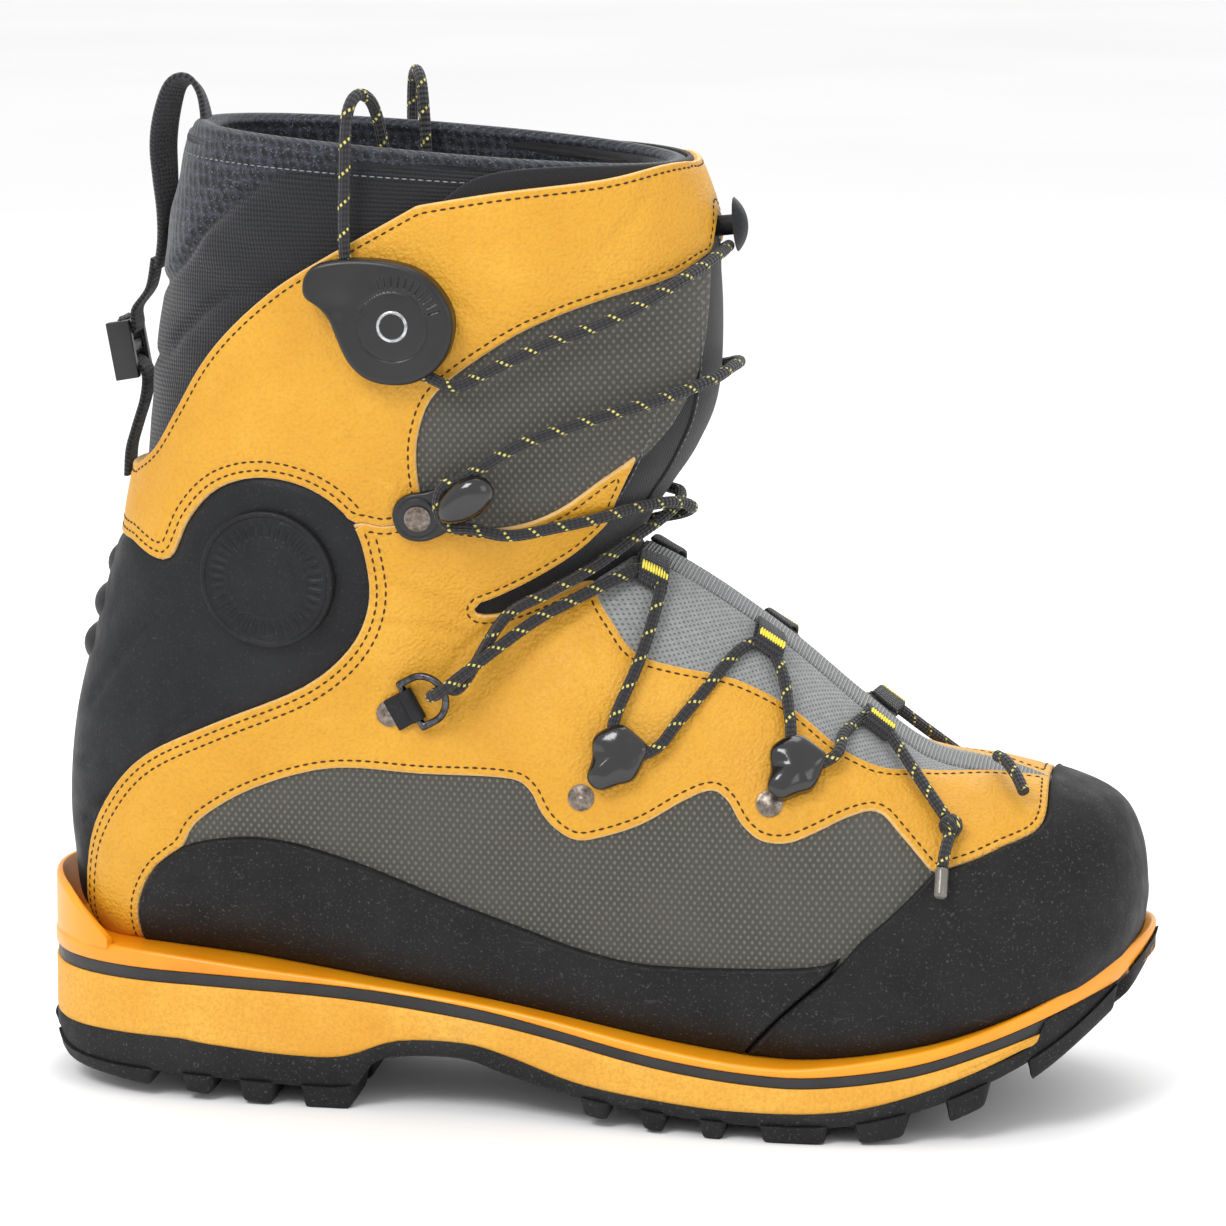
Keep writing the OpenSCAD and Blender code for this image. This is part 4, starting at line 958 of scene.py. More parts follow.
COUNTER_OUT = outline([[-190, 168], [-150, 168]], COUNTER_EDGE, [[-190, 36], [-190, 100]])
QUARTER_OUT = outline(SEAM, STRAP_EDGE, NOTCH, [[9, 158], [16, 158]], [[32, 168], [64, 148]],
                      [[84, 130], [104, 116]], [[139, 116], [139, 114]], rev(TOE_TOP), rev(LEATHER_LOW),
                      rev(RAND_REAR), [[-190, 36], [-190, 140]])
CUFF_OUT = outline([[-190, 188], [-150, 189]], CUFF_REAR, CUFF_TOP, STRAP_LOW, rev(SEAM),
                   [[-190, 160], [-190, 170]])
PANEL_OUT = outline(PANEL_FRONT, STRAP_LOW, STRAP_EDGE)
SIDE_OUT = outline(LEATHER_LOW, rev(TOE_REAR), rev(RAND_TOP))
RAND_OUT = outline(RAND_REAR, RAND_TOP, TOE_SEAM, [[46, 5], [-134, 5]])
TOE_OUT = outline(rev(TOE_SEAM), TOE_REAR, TOE_TOP, [[138, 130], [190, 130]], [[190, 5], [46, 5]])
COVER_OUT = outline([[-10, 150], [4, 160]], [[13, 165], [26, 172]], [[150, 130], [150, 88]],
                    [[-10, 88], [-10, 120]])
LINING_OUT = outline([[-190, 186], [-150, 186]],
                     [[-133, 187], [-118, 206], [-100, 232], [-76, 251], [-44, 269], [-28, 280], [-5, 283],
                      [30, 282.5]], [[190, 282.5], [190, 10]], [[190, 8], [-190, 8]])
half_opening = spline(INSTEP_OPENING)
OPENING = np.concatenate([half_opening, (half_opening * [1, -1])[::-1]])


def over_feather(grid):
    return above(grid, FEATHER) / 0.95


def opening(grid):
    """Distance inside the instep opening; far outside on the sole side."""
    f = field(grid, OPENING, "plan")
    up = grid["p"][:, 2] > np.interp(grid["p"][:, 0], [-20, 140], [125, 78])
    return np.where(up, f, -30.0)


def counter_gap(grid):
    """Distance outside the heel counter's edge."""
    return -field(grid, COUNTER_OUT)


def quarter_field(grid):
    return np.minimum(np.minimum(field(grid, QUARTER_OUT), counter_gap(grid)), -opening(grid))


def cuff_field(grid):
    return np.minimum(field(grid, CUFF_OUT), counter_gap(grid))


def puff(amount, reach):
    return lambda data, f: amount * (1 - np.exp(-f / reach))


def crease(points, depth, width):
    """Groove or fold along a side line, on both sides of the boot."""
    path = resample(spline(points), 1.0)

    def height_at(p):
        d2 = ((p[:, None, [0, 2]] - path[None]) ** 2).sum(-1).min(1)
        return -depth * np.exp(-d2 / width ** 2)
    return height_at


FOLDS = [crease(line, 0.55, 1.5) for line in (
    [[-34, 150], [-44, 157], [-56, 160]], [[-36, 145], [-46, 147], [-58, 148]],
    [[-24, 149], [-34, 141], [-41, 130]],
    [[18, 119], [22, 110], [24, 100]], [[36, 120], [39, 112], [40, 105]], [[-8, 152], [0, 145], [6, 136]],
    [[84, 106], [90, 100], [94, 97]], [[-20, 232], [-28, 240], [-40, 246]],
    [[10, 262], [16, 270], [18, 277]])]


def worn(data, f):
    """Leather that bulges a little between its seams and is creased where the foot bends."""
    p = data["p"]
    waves = 0.22 * np.sin(p[:, 0] * 0.11 + 1.7 * np.sin(p[:, 2] * 0.05)) * np.sin(p[:, 2] * 0.093 + 0.6)
    total = 0.35 * (1 - np.exp(-f / 7)) + waves * (1 - np.exp(-f / 5))
    for fold in FOLDS:
        total = total + fold(p) * np.clip((f - 0.8) / 2, 0, 1)
    return total


def rib_edge(data, f):
    """Raised rib along the upper edge of the rubber."""
    return 0.45 * np.exp(-((f - 1.1) / 0.7) ** 2)


GROOVES = [crease(line, 1.0, 1.2) for line in (
    [[-124, 150], [-135, 138], [-149, 118]], [[-116, 138], [-131, 122], [-151, 99]],
    [[-108, 127], [-128, 108], [-152, 82]])]


def counter_relief(data, f):
    """Thin under the leather's edge, then full, with three swept grooves towards the heel."""
    full = 1.7 * (1 - np.exp(-np.maximum(f - 3.2, 0) / 2.2))
    return full + sum(groove(data["p"]) for groove in GROOVES) * (f > 4)


LEATHER_T, PANEL_T, COVER_T, RAND_T = 2.0, 0.75, 1.0, 2.6
BOTH_QUARTERS = ("quarter_lateral", "quarter_medial")
BOTH_CUFFS = ("cuff_lateral", "cuff_medial")
panel("shell_lining_cloth", lambda g: np.minimum(over_feather(g), field(g, LINING_OUT)), 0.9, MAT["lining"],
      low=-1.4, k=-0.9, uv="wrap", replaces=("shell_lining", "shell_gusset"), slot="black_fabric", square=0.3)
panel("side_fabric", lambda g: field(g, SIDE_OUT) + 3, PANEL_T, MAT["weave"], relief=puff(0.5, 9),
      replaces=("side_panel_lateral", "side_panel_medial"), slot="grey_weave")
panel("cuff_fabric", lambda g: field(g, PANEL_OUT) + 3, PANEL_T, MAT["weave"], relief=puff(0.5, 9),
      replaces=("cuff_panel_lateral", "cuff_panel_medial"), slot="grey_weave")

RIB_HALF = 8.0


def cover_field(grid):
    return np.minimum(opening(grid) + 3, field(grid, COVER_OUT))


def beside_centre(grid):
    return np.abs(grid["p"][:, 1] + 1)


panel("instep_ribbed", lambda g: np.minimum(cover_field(g), RIB_HALF - beside_centre(g)), 1.4,
      MAT["ribbed"], uv="wrap", replaces=("instep_ribbed_cover",), slot="grey_ribbed_fabric", square=0.35,
      radius=1.2, relief=puff(0.3, 3))
panel("instep_mesh", lambda g: np.minimum(cover_field(g), beside_centre(g) - RIB_HALF), COVER_T,
      MAT["dotted"], uv="wrap", replaces=("instep_side_mesh",), slot="grey_dotted_mesh", square=0.35,
      relief=puff(0.3, 3))
panel("quarter_leather", quarter_field, LEATHER_T, MAT["leather"], rows=(SEAM_INSET,), replaces=BOTH_QUARTERS,
      slot="yellow_leather", relief=worn, second=(counter_gap, COUNTER_SEAM, COUNTER_SEAM_FROM))
panel("cuff_leather", cuff_field, LEATHER_T + 0.2, MAT["leather"], rows=(SEAM_INSET,), replaces=BOTH_CUFFS,
      slot="yellow_leather", relief=worn, second=(counter_gap, COUNTER_SEAM, COUNTER_SEAM_FROM))
panel("side_rand_rubber", lambda g: np.minimum(field(g, RAND_OUT), over_feather(g)), RAND_T, MAT["rubber"],
      replaces=("side_rand",), slot="black_rubber", square=0.2, radius=1.6, levels=(0.6, 1.2, 2.2),
      relief=rib_edge)
panel("toe_rubber", lambda g: np.minimum(field(g, TOE_OUT), over_feather(g)), RAND_T, MAT["rubber"],
      replaces=("toe_cap",), slot="black_rubber", square=0.2, radius=1.6, levels=(0.6, 1.2, 2.2),
      relief=rib_edge)
panel("heel_counter_shell", lambda g: np.minimum(field(g, COUNTER_OUT) + 3, over_feather(g)), 0.9,
      MAT["moulded"], replaces=("heel_counter",), slot="black_plastic", square=0.4, radius=1.0,
      levels=(3.0, 4.0, 5.5, 7.5), relief=counter_relief)


def surface(v, a, k):
    """Path of points k outside the last with its outward normals."""
    p = skin(v, a, k)
    n = skin(v, a, k + 1.0) - p
    return p, n / np.linalg.norm(n, axis=-1, keepdims=True)


# piping and a fold line down each side of the tongue at the front of the shaft
piping = Parts()
for a in (-0.62, -0.34, 0.34, 0.62):
    path, n = surface(np.linspace(14.4, 19.2, 70), a, 0.15)
    piping.add(*tube(path, 0.75, 10))
    sew_path(path + n * 0.7, n, "light_stitch", pitch=2.2, half=0.18)
weld(piping.build("gusset_piping", MAT["lining"], slot="black_fabric"))


# ------------------------------------------------------------------ bellows and badge on the heel
BELLOWS = [[-142.5, 157], [-147, 144.5], [-150.5, 132]]
bellows = Parts()
for x, z in BELLOWS:
    a = np.radians(np.linspace(122, 238, 60))
    path = np.stack([x + 14 + 15 * np.cos(a), 15 * np.sin(a), np.full(60, z)], 1)
    ends = np.sin(np.linspace(0, math.pi, 60)) ** 0.35
    bellows.add(*tube(path, 2.6 + 4.0 * ends, 30))
weld(bellows.build("heel_bellows_ribs", MAT["moulded"], replaces=("heel_bellows",), slot="black_rubber"))

DISC = ([-91.3, -43.2, 161], -7, -3)
DISC_R = 20.5


def badge():
    """Plain round relief: a raised rim, radial ribs in a ring and a stepped middle."""
    parts = Parts()
    r = np.concatenate([np.linspace(0.01, 12, 26), np.linspace(12.4, 18.6, 14), np.linspace(18.8, DISC_R, 10),
                        [DISC_R + 0.01]])
    around = 288
    a = np.arange(around) * 2 * math.pi / around
    rr, aa = np.meshgrid(r, a, indexing="ij")
    z = np.full(rr.shape, 2.35)
    z += 0.65 * np.clip((rr - 18.7) / 0.5, 0, 1) * np.clip((DISC_R + 0.05 - rr) / 0.6, 0, 1) ** 0.5
    ring = (rr > 12.6) & (rr < 18.2)
    fade = np.clip(np.sin((rr - 12.6) / 5.6 * math.pi), 0, None) ** 0.5
    z += np.where(ring, 0.28 * np.clip(np.cos(aa * 36) * 3, -1, 1) * fade, 0)
    z += 0.45 * np.exp(-((rr - 12.2) / 0.45) ** 2)
    z += 0.35 * np.clip((9.0 - rr) / 0.5, 0, 1) + 0.35 * np.clip((5.0 - rr) / 0.5, 0, 1)
    z[-1] = -0.5
    pts = np.stack([rr * np.cos(aa), rr * np.sin(aa), z], -1).reshape(-1, 3)
    faces = grid_faces(len(r), around, wrap=True)
    faces += [list(range(around))[::-1], [(len(r) - 1) * around + j for j in range(around)]]
    top = Place(*DISC).at(pts)
    parts.add(top, faces)
    parts.add(medial_rigid(top, -91), turned(faces))
    return sharp(weld(parts.build("ankle_badges", MAT["moulded"], replaces=("ankle_discs",),
                                  slot="black_plastic")), 50)


badge()

# ------------------------------------------------------------------ sole
PLAN = spline(SOLE_PLAN, 14, closed=True)
plan_length = np.linalg.norm(np.roll(PLAN, -1, 0) - PLAN, axis=1).sum()
PLAN = ccw(resample(np.concatenate([PLAN, PLAN[:1]]), plan_length / 560)[:-1])
CENTRE_X = np.linspace(-167, 167, 60)
SIDE_RUNS = [PLAN[m][np.argsort(PLAN[m][:, 0])] for m in (PLAN[:, 1] > 8, PLAN[:, 1] < 8)]
CENTRE_LINE = sum(np.interp(CENTRE_X, *side.T) for side in SIDE_RUNS) / 2
TOE_TREAD = 137.5
TREAD_TOP = [p for p in WEDGE_BOTTOM if p[0] < 130] + [[134, 27.5], [138, 34.5], [144, 37.3], [151, 39.8],
                                                       [158, 42.2], [168, 46.5], [185, 52]]


def layer(name, levels, material, replaces=(), slot=None, x_to=None, angle=50, steps=6):
    """A closed slab with the sole's outline. levels are (inset, line, dz) from bottom to top."""
    s = np.concatenate([[0], np.cumsum(np.linalg.norm(np.diff(PLAN, axis=0), axis=1))])
    rings, uvs = [], []

    def ring(xy, line, dz, across):
        z = height(line, xy[:, 0]) + dz
        rings.append(np.column_stack([xy, z]))
        uvs.append(np.column_stack([s, across if across is not None else z]))

    def cap(d, line, dz):
        xy = trimmed(d)
        mid = np.column_stack([xy[:, 0], np.interp(xy[:, 0], CENTRE_X, CENTRE_LINE)])
        for t in np.linspace(1, 0, steps + 1)[:-1]:
            ring(xy + (mid - xy) * t, line, dz, np.full(len(s), 40 * t))

    def trimmed(d):
        p = inset(PLAN, d).copy()
        if x_to is not None:
            p[:, 0] = np.minimum(p[:, 0], x_to)
        return p

    cap(*levels[0])
    for d, line, dz in levels:
        ring(trimmed(d), line, dz, None)
    start = len(rings)
    cap(*levels[-1])
    rings[start:], uvs[start:] = rings[start:][::-1], uvs[start:][::-1]
    faces = grid_faces(len(rings), len(PLAN), wrap=True)
    obj = make_mesh(name, np.concatenate(rings), faces, material, uv=np.concatenate(uvs) * MM,
                    replaces=replaces, slot=slot)
    return sharp(weld(obj, 0.00003), angle)


layer("welt_frame", [(0.4, WELT_BOTTOM, 0), (0.0, WELT_BOTTOM, 0.4), (0.0, FEATHER, -1.2),
                     (0.25, FEATHER, -0.5), (0.8, FEATHER, -0.1), (1.5, FEATHER, 0)], MAT["tpu"], ("welt",),
      "orange_tpu")
layer("stripe_frame", [(1.0, STRIPE_BOTTOM, 0), (0.7, STRIPE_BOTTOM, 0.4), (0.7, WELT_BOTTOM, -0.3),
                       (1.2, WELT_BOTTOM, 0)], MAT["stripe"], ("midsole_stripe",), "black_plastic",
      x_to=139.0)
layer("foam_wedge", [(0.6, WEDGE_BOTTOM, 0), (0.1, WEDGE_BOTTOM, 0.6), (0.0, WEDGE_BOTTOM, 2.0),
                     (0.2, STRIPE_BOTTOM, -2.5), (0.1, STRIPE_BOTTOM, -0.6), (0.5, STRIPE_BOTTOM, 0)],
      MAT["foam"], ("midsole_wedge",), "yellow_foam", x_to=TOE_TREAD)
layer("tread_plate", [(1.2, TREAD_BASE, 0), (0.3, TREAD_BASE, 0.8), (0.0, TREAD_BASE, 1.8),
                      (0.0, TREAD_TOP, -0.8), (0.5, TREAD_TOP, 0)], MAT["tread"], ("outsole",),
      "black_rubber")


def clip_convex(points, bounds):
    """Polygon cut by half planes (a, b, c) with a x + b y <= c."""
    p = [tuple(q) for q in points]
    for a, b, c in bounds:
        out = []
        for i, q in enumerate(p):
            r = p[(i + 1) % len(p)]
            fq, fr = a * q[0] + b * q[1] - c, a * r[0] + b * r[1] - c
            if fq <= 0:
                out.append(q)
            if fq * fr < 0:
                t = fq / (fq - fr)
                out.append((q[0] + (r[0] - q[0]) * t, q[1] + (r[1] - q[1]) * t))
        p = out
        if len(p) < 3:
            return None
    return np.array(p)


def eased(poly, step=1.6):
    """Closed polygon with even points and softened corners."""
    q = resample(np.concatenate([poly, poly[:1]]), step)[:-1]
    for _ in range(2):
        q = (np.roll(q, 1, 0) + 2 * q + np.roll(q, -1, 0)) / 4
    return q


def tread_lugs():
    lugs = Parts()
    for x0, x1 in HEEL_LUGS + BALL_LUGS:
        for y0, y1 in ((-99, -17.5), (-12.5, 14.5), (19.5, 99)):
            poly = clip_convex(PLAN[::4], [(-1, 0, -x0), (1, 0, x1), (0, -1, -y0), (0, 1, y1)])
            if poly is None:
                continue
            poly = ccw(eased(poly))
            rings = []
            for d, share in ((-0.9, 1.0), (-0.2, 0.55), (0.1, 0.25), (0.6, 0.06), (1.2, 0.0)):
                q = inset(poly, d)
                bottom = np.maximum(height(GROUND, q[:, 0]), 0.05)
                top = height(TREAD_BASE, q[:, 0]) + 0.6
                rings.append(np.column_stack([q, bottom + (top - bottom) * share]))
            n = len(poly)
            low, high = rings[-1].mean(0), rings[0].mean(0)
            faces = grid_faces(5, n, wrap=True)
            faces += [[4 * n + j, 4 * n + (j + 1) % n, 5 * n] for j in range(n)]
            faces += [[(j + 1) % n, j, 5 * n + 1] for j in range(n)]
            lugs.add(np.concatenate(rings + [[low], [high]]), faces)
    return sharp(weld(lugs.build("tread_lugs", MAT["tread"], slot="black_rubber")), 50)


tread_lugs()

FIN_CENTRE_X, FIN_R = -126.6, 41.0


def heel_fin():
    """Upstand of the welt round the heel, for a crampon's lever."""
    ang = np.radians(np.linspace(115, 245, 90))
    high = np.interp(FIN_CENTRE_X + FIN_R * np.cos(ang), [-175, -166, -160, -152, -146, -142],
                     [64, 63, 60.5, 54.5, 50, 46])
    rings = []
    for d, lift in ((-2.6, 0.0), (-2.4, 0.93), (-1.8, 1.0), (-0.8, 1.0), (-0.1, 0.95), (0, 0.85), (0.1, 0.0)):
        x, y = FIN_CENTRE_X + (FIN_R + d) * np.cos(ang), (FIN_R + d) * np.sin(ang)
        low = height(FEATHER, x) - 1.0
        rings.append(np.column_stack([x, y, low + (np.maximum(high, low + 0.5) - low) * lift]))
    n, last = len(ang), len(rings) - 1
    faces = grid_faces(len(rings), n)
    faces += [[i + last * n, i + 1 + last * n, i + 1, i] for i in range(n - 1)]
    faces += [[k * n for k in range(last + 1)], [k * n + n - 1 for k in range(last + 1)][::-1]]
    return sharp(weld(make_mesh("heel_fin_lip", np.concatenate(rings), faces, MAT["tpu"],
                                replaces=("heel_fin",), slot="orange_tpu")), 50)


heel_fin()

# ------------------------------------------------------------------ laces
LACE_R, BRAID_R = 2.0, 1.72
LOCK = ([-51, -50.2, 238], 0, 0)
HOOK = ([-45.8, -46.2, 181.4], 4, -11)
RING = ([-45, -39.2, 126.4], 5, 4)
RING_BAR, RING_TURN = [-4.3, -2.7, 2.8], 29.4
LOOPS = [([12.4, -41.4, 110], 2, 15), ([64, -38, 107.4], 13, 30)]
FLOAT, HOOK_PLATE_T, LACE_Z = 1.0, 1.8, 2.6
LOCK_CHANNEL = [[-14.5, 22], [-13, 12], [-11, 3], [-8, -6], [0, -11.5], [10, -15], [18, -17.5]]
LOOP_CHANNEL = [[-1, 12], [-1.5, 4.5], [0.2, 0], [4.5, -0.2], [12, 3.5]]
RING_TURN_PATH = [[17, 1, 8.4], [13, 0.4, 10], [10, 0, 9.9], [7.3, 0, 6.5], [8.9, 0, 3.1], [12, -0.4, 2.4],
                  [17, -1.5, 2.9]]


def on(f, pts):
    return [list(p) for p in Place(*f).at(pts)]


RING_PLACE = Place(on(RING, [RING_BAR])[0], RING[1], RING[2], RING_TURN)
hook_z = FLOAT + HOOK_PLATE_T + LACE_R + 0.6
lock_path = on(LOCK, [[x, y, LACE_Z + 0.6] for x, y in LOCK_CHANNEL])
hook_path = on(HOOK, [[x, y, hook_z] for x, y in [[16, -2], [9, -1.2], [6.4, 5], [8, 11], [14, 13.5]]])
loop_paths = [on(f, [[x, y, LACE_Z + 0.4] for x, y in reversed(LOOP_CHANNEL)]) for f in LOOPS]
ring_path = [list(p) for p in RING_PLACE.at(RING_TURN_PATH)]

COLLAR_HALF = [[-57, -32, 272], [-58, -33, 288], [-60, -38, 300], [-63, -45, 303], [-65, -50.5, 297],
               [-65.5, -52.5, 280]] + lock_path + [
    [-22, -53, 226], [-7, -49.5, 233], [7, -45, 238], [18, -40, 243], [28, -32, 249], [34, -22.5, 252.5],
    [37.5, -13, 255], [38.7, -6, 256]]
HOOK_HALF = [[20.5, -16, 181.5], [13, -25, 181], [5, -33, 179.5], [-7, -40, 177.5],
             [-19, -46, 176]] + hook_path + [
    [-16, -50.5, 203], [-4, -48, 207.5], [7, -44, 211], [19, -37.5, 214], [30, -28, 217], [37.5, -18, 219.5],
    [41.2, -8, 221.5]]
LOWER_HALF = [[108, -38, 95], [102, -32, 101.5], [95.5, -24.5, 108.5], [88.5, -17, 116], [84, -14.5, 119.5],
              [80, -19, 118], [77, -27, 116]] + loop_paths[1] + [
    [61, -31, 125], [59, -25, 132], [55, -18, 138.5], [51, -16.5, 141], [45, -23.5, 139], [36.5, -33, 129],
    [29, -40, 120]] + loop_paths[0] + [
    [17, -35, 136.5], [20.5, -27, 149], [21.5, -20, 158], [17.5, -17, 162.5], [9, -23.5, 160], [-4, -32, 154],
    [-15, -37.5, 148]] + ring_path + [
    [-22, -38.5, 150], [-10, -34, 157], [3, -26.5, 164], [13, -18, 171]]
UNDER_CROSSING = [[20, -9, 175.5], [24, 0, 179], [23.8, 8, 181]]
OVER_CROSSING = [[25.4, -8, 180.6], [28.4, 0, 178], [24, 9, 174.5]]


def braid_bumps(s, a):
    """Crossing strands that stand a little proud."""
    k = 2 * math.pi / 3.2
    return 0.09 * np.sin(6 * a + k * s) * np.sin(6 * a - k * s)


def lace(name, route, replaces):
    path = resample(spline(route, 6), 0.75)
    verts, faces, uv = tube(path, BRAID_R, 24, braid_bumps)
    return weld(make_mesh(name, verts, faces, MAT["braid"], uv=uv, replaces=replaces, slot="lace_braid"))


def other_side(path):
    return [list(p) for p in medial(path)]


lace("lace_collar", COLLAR_HALF + [[38.9, 0, 256.2]] + other_side(COLLAR_HALF)[::-1], ("lace_collar_run",))
lace("lace_main", LOWER_HALF + UNDER_CROSSING + other_side(HOOK_HALF) + [[42.4, 0, 221.8]] + HOOK_HALF[::-1]
     + OVER_CROSSING + other_side(LOWER_HALF)[::-1], ("lace_main_run",))
lace("lace_toe", [[121, -9, 107], [124, -14, 106.5], [127.5, -20, 103.5], [130, -25, 100]], ("toe_lace",))

KNOT = np.array([109.8, -40, 92.5])
TAIL = [[110, -41, 91], [109, -46, 87.5], [108.3, -50, 82.5]]
AGLET_LEAN = math.radians(145)


def knots_and_tips():
    """An overhand knot of three turns, a short tail and a shrunk clear tip on each side."""
    knots, tips = Parts(), Parts()
    t = np.linspace(0, 2 * math.pi, 44)
    turns = [(np.stack([2.0 * np.cos(t), 1.9 * np.sin(t) + 0.4, 1.2 * np.sin(2 * t)], 1), 1.5),
             (np.stack([2.2 * np.sin(t), 0.9 * np.cos(3 * t), 2.3 * np.cos(t)], 1), 1.35),
             (np.stack([1.1 * np.cos(2 * t), 2.1 * np.cos(t), 2.1 * np.sin(t)], 1), 1.25)]
    lean = np.array([0, -math.sin(AGLET_LEAN), math.cos(AGLET_LEAN)])
    z = np.array([0, 0.2, 0.5, 1.0, 4.0, 8.0, 8.6, 9.0])
    r = np.array([1.5, 1.8, 1.95, 1.95, 1.9, 1.95, 1.8, 1.1])
    for flip in (lambda p, x: p, medial_rigid):
        for shape, radius in turns:
            knots.add(*tube(flip(shape + KNOT, 110), radius, 14))
        tail = flip(resample(spline(TAIL, 8), 0.8), 110)
        knots.add(*tube(tail, BRAID_R, 20, braid_bumps))
        start = np.array(TAIL[2]) + [0, -0.3, -0.3]
        tips.add(*tube(flip(start + z[:, None] * lean, 108), r, 24))
    weld(knots.build("lace_knots_tied", MAT["braid"], replaces=("lace_knots",), slot="lace_braid"))
    weld(tips.build("lace_tips", MAT["clear"], replaces=("lace_aglets",), slot="clear_plastic"))


knots_and_tips()


# ------------------------------------------------------------------ webbing
def tape(parts, path, sides, width, thick):
    """Flat tape along a path; sides are its width directions."""
    path = np.asarray(path, float)
    t = np.gradient(path, axis=0)
    t /= np.linalg.norm(t, axis=1, keepdims=True)
    up = np.cross(t, sides)
    up /= np.linalg.norm(up, axis=1, keepdims=True)
    s = np.concatenate([[0], np.cumsum(np.linalg.norm(np.diff(path, axis=0), axis=1))])
    w, h = width / 2, thick / 2
    shape = [(-w, 0), (-w + 0.4 * h, h * 0.85), (-w + 1.2 * h, h), (0, h * 0.92), (w - 1.2 * h, h),
             (w - 0.4 * h, h * 0.85), (w, 0), (w - 0.4 * h, -h * 0.85), (w - 1.2 * h, -h),
             (0, -h * 0.92), (-w + 1.2 * h, -h), (-w + 0.4 * h, -h * 0.85)]
    a, b = np.array(shape).T
    verts = path[:, None] + sides[:, None] * a[None, :, None] + up[:, None] * b[None, :, None]
    n = len(shape)
    faces = grid_faces(len(path), n, wrap=True)
    faces += [list(range(n))[::-1], list(range((len(path) - 1) * n, len(path) * n))]
    uv = np.stack(np.broadcast_arrays(s[:, None], a[None, :]), -1).reshape(-1, 2) * MM
    parts.add(verts.reshape(-1, 3), faces, uv)
    return s


def rear_tape(name, points, replaces, width=12.0, thick=1.9, twist=0.0):
    """Tape in the heel's middle plane, turned a little about its own line where twist is set."""
    flat = resample(spline(points, 8), 0.9)
    path = np.column_stack([flat[:, 0], np.zeros(len(flat)), flat[:, 1]])
    t = np.gradient(path, axis=0)
    out = np.cross(t, [0, 1, 0])
    out /= np.linalg.norm(out, axis=1, keepdims=True)
    angle = math.radians(twist) * np.sin(np.linspace(0, math.pi, len(path))) ** 1.5
    sides = np.array([0, 1, 0]) * np.cos(angle)[:, None] + out * np.sin(angle)[:, None]
    parts = Parts()
    tape(parts, path, sides, width, thick)
    return weld(parts.build(name, MAT["webbing"], replaces=replaces, slot="black_webbing"))


BUCKLE_PIN = (-142.5, 229.5)
rear_tape("pull_loop_tape", [[-117.5, 286], [-118.3, 294], [-120, 300], [-123.4, 303.4], [-127.3, 301.2],
                             [-130, 293],
                             [-131.2, 284], [-130.8, 274], [-130.4, 265], [-131, 256], [-132.8, 247]],
          ("pull_loop",), twist=26)
ROUND_PIN = [[2.45, 5], [2.55, 0], [1.4, -2.2], [-1.2, -2.2], [-2.5, 0], [-1.2, 2.3]]
rear_tape("strap_upper_tape", [[-133.8, 250], [-135.6, 241]]
          + [[BUCKLE_PIN[0] + x, BUCKLE_PIN[1] + z] for x, z in ROUND_PIN],
          ("rear_strap_upper",), thick=1.5)
rear_tape("strap_lower_tape", [[-142, 219.2], [-139.5, 218.4], [-137.2, 215], [-137.8, 208], [-140.6, 199],
                               [-142.6, 192], [-143.2, 184]], ("rear_strap_lower",), thick=1.6)

WEBBING_X = [18, 52, 84]
FOLD_Y = 15.5


def on_top(x, y):
    """Point of the last's upper side above x, y with its normal."""
    p, n = BASE.p.reshape(-1, 3), BASE.n.reshape(-1, 3)
    ok = n[:, 2] > 0.15
    d = (p[ok, 0] - x) ** 2 + (p[ok, 1] - y) ** 2
    near = np.argsort(d)[:6]
    w = 1 / (d[near] + 0.05)
    point, normal = ((q[ok][near] * w[:, None]).sum(0) / w.sum() for q in (p, n))
    return np.array([x, y, point[2]]), normal / np.linalg.norm(normal)


def lifted(x, y, k):
    """Point k outside the instep and the direction along the foot there."""
    point, n = on_top(x, y)
    side = np.array([n[2], 0, -n[0]])
    return point + n * k, side / np.linalg.norm(side)


def instep_straps():
    """Tapes across the instep whose ends fold round the lace, each closed by a yellow bar of stitches."""
    parts = Parts()
    for x in WEBBING_X:
        route = [(-8.6, 2.6), (-11.4, 4.3), (-FOLD_Y, 6.2), (-FOLD_Y - 2.6, 3.9), (-FOLD_Y - 0.4, 1.5),
                 (-11.5, 1.7), (-8.5, 1.1), (-5, 0.7), (-1, 0.7)]
        route = route + [(-y - 2, k) for y, k in route[-2::-1]]
        line = [lifted(x, y, k) for y, k in route]
        path = resample(spline([p for p, side in line], 6), 0.8)
        ends = np.array([p for p, side in line])
        leans = np.array([side for p, side in line])
        nearest = ((path[:, None] - ends[None]) ** 2).sum(-1).argmin(1)
        lean = leans[nearest]
        for _ in range(6):
            lean = np.concatenate([lean[:1], (lean[:-2] + lean[1:-1] + lean[2:]) / 3, lean[-1:]])
        tape(parts, path, lean / np.linalg.norm(lean, axis=1, keepdims=True), 9.5, 1.1)
        for y0, y1, k0, k1 in ((-15.0, -16.5, 6.95, 6.55), (13.0, 14.5, 6.95, 6.55)):
            a, side = lifted(x, y0, k0)
            b, side = lifted(x, y1, k1)
            normal = on_top(x, y0)[1]
            for i in range(10):
                shift = side * (i - 4.5) * 0.86
                bar = np.linspace(a, b, 5) + shift
                dash(THREADS.setdefault("yellow_stitch", Parts()), bar, np.tile(normal, (5, 1)), 0.5)
    weld(parts.build("instep_tapes", MAT["webbing"], replaces=("instep_webbing",), slot="black_webbing"))


instep_straps()


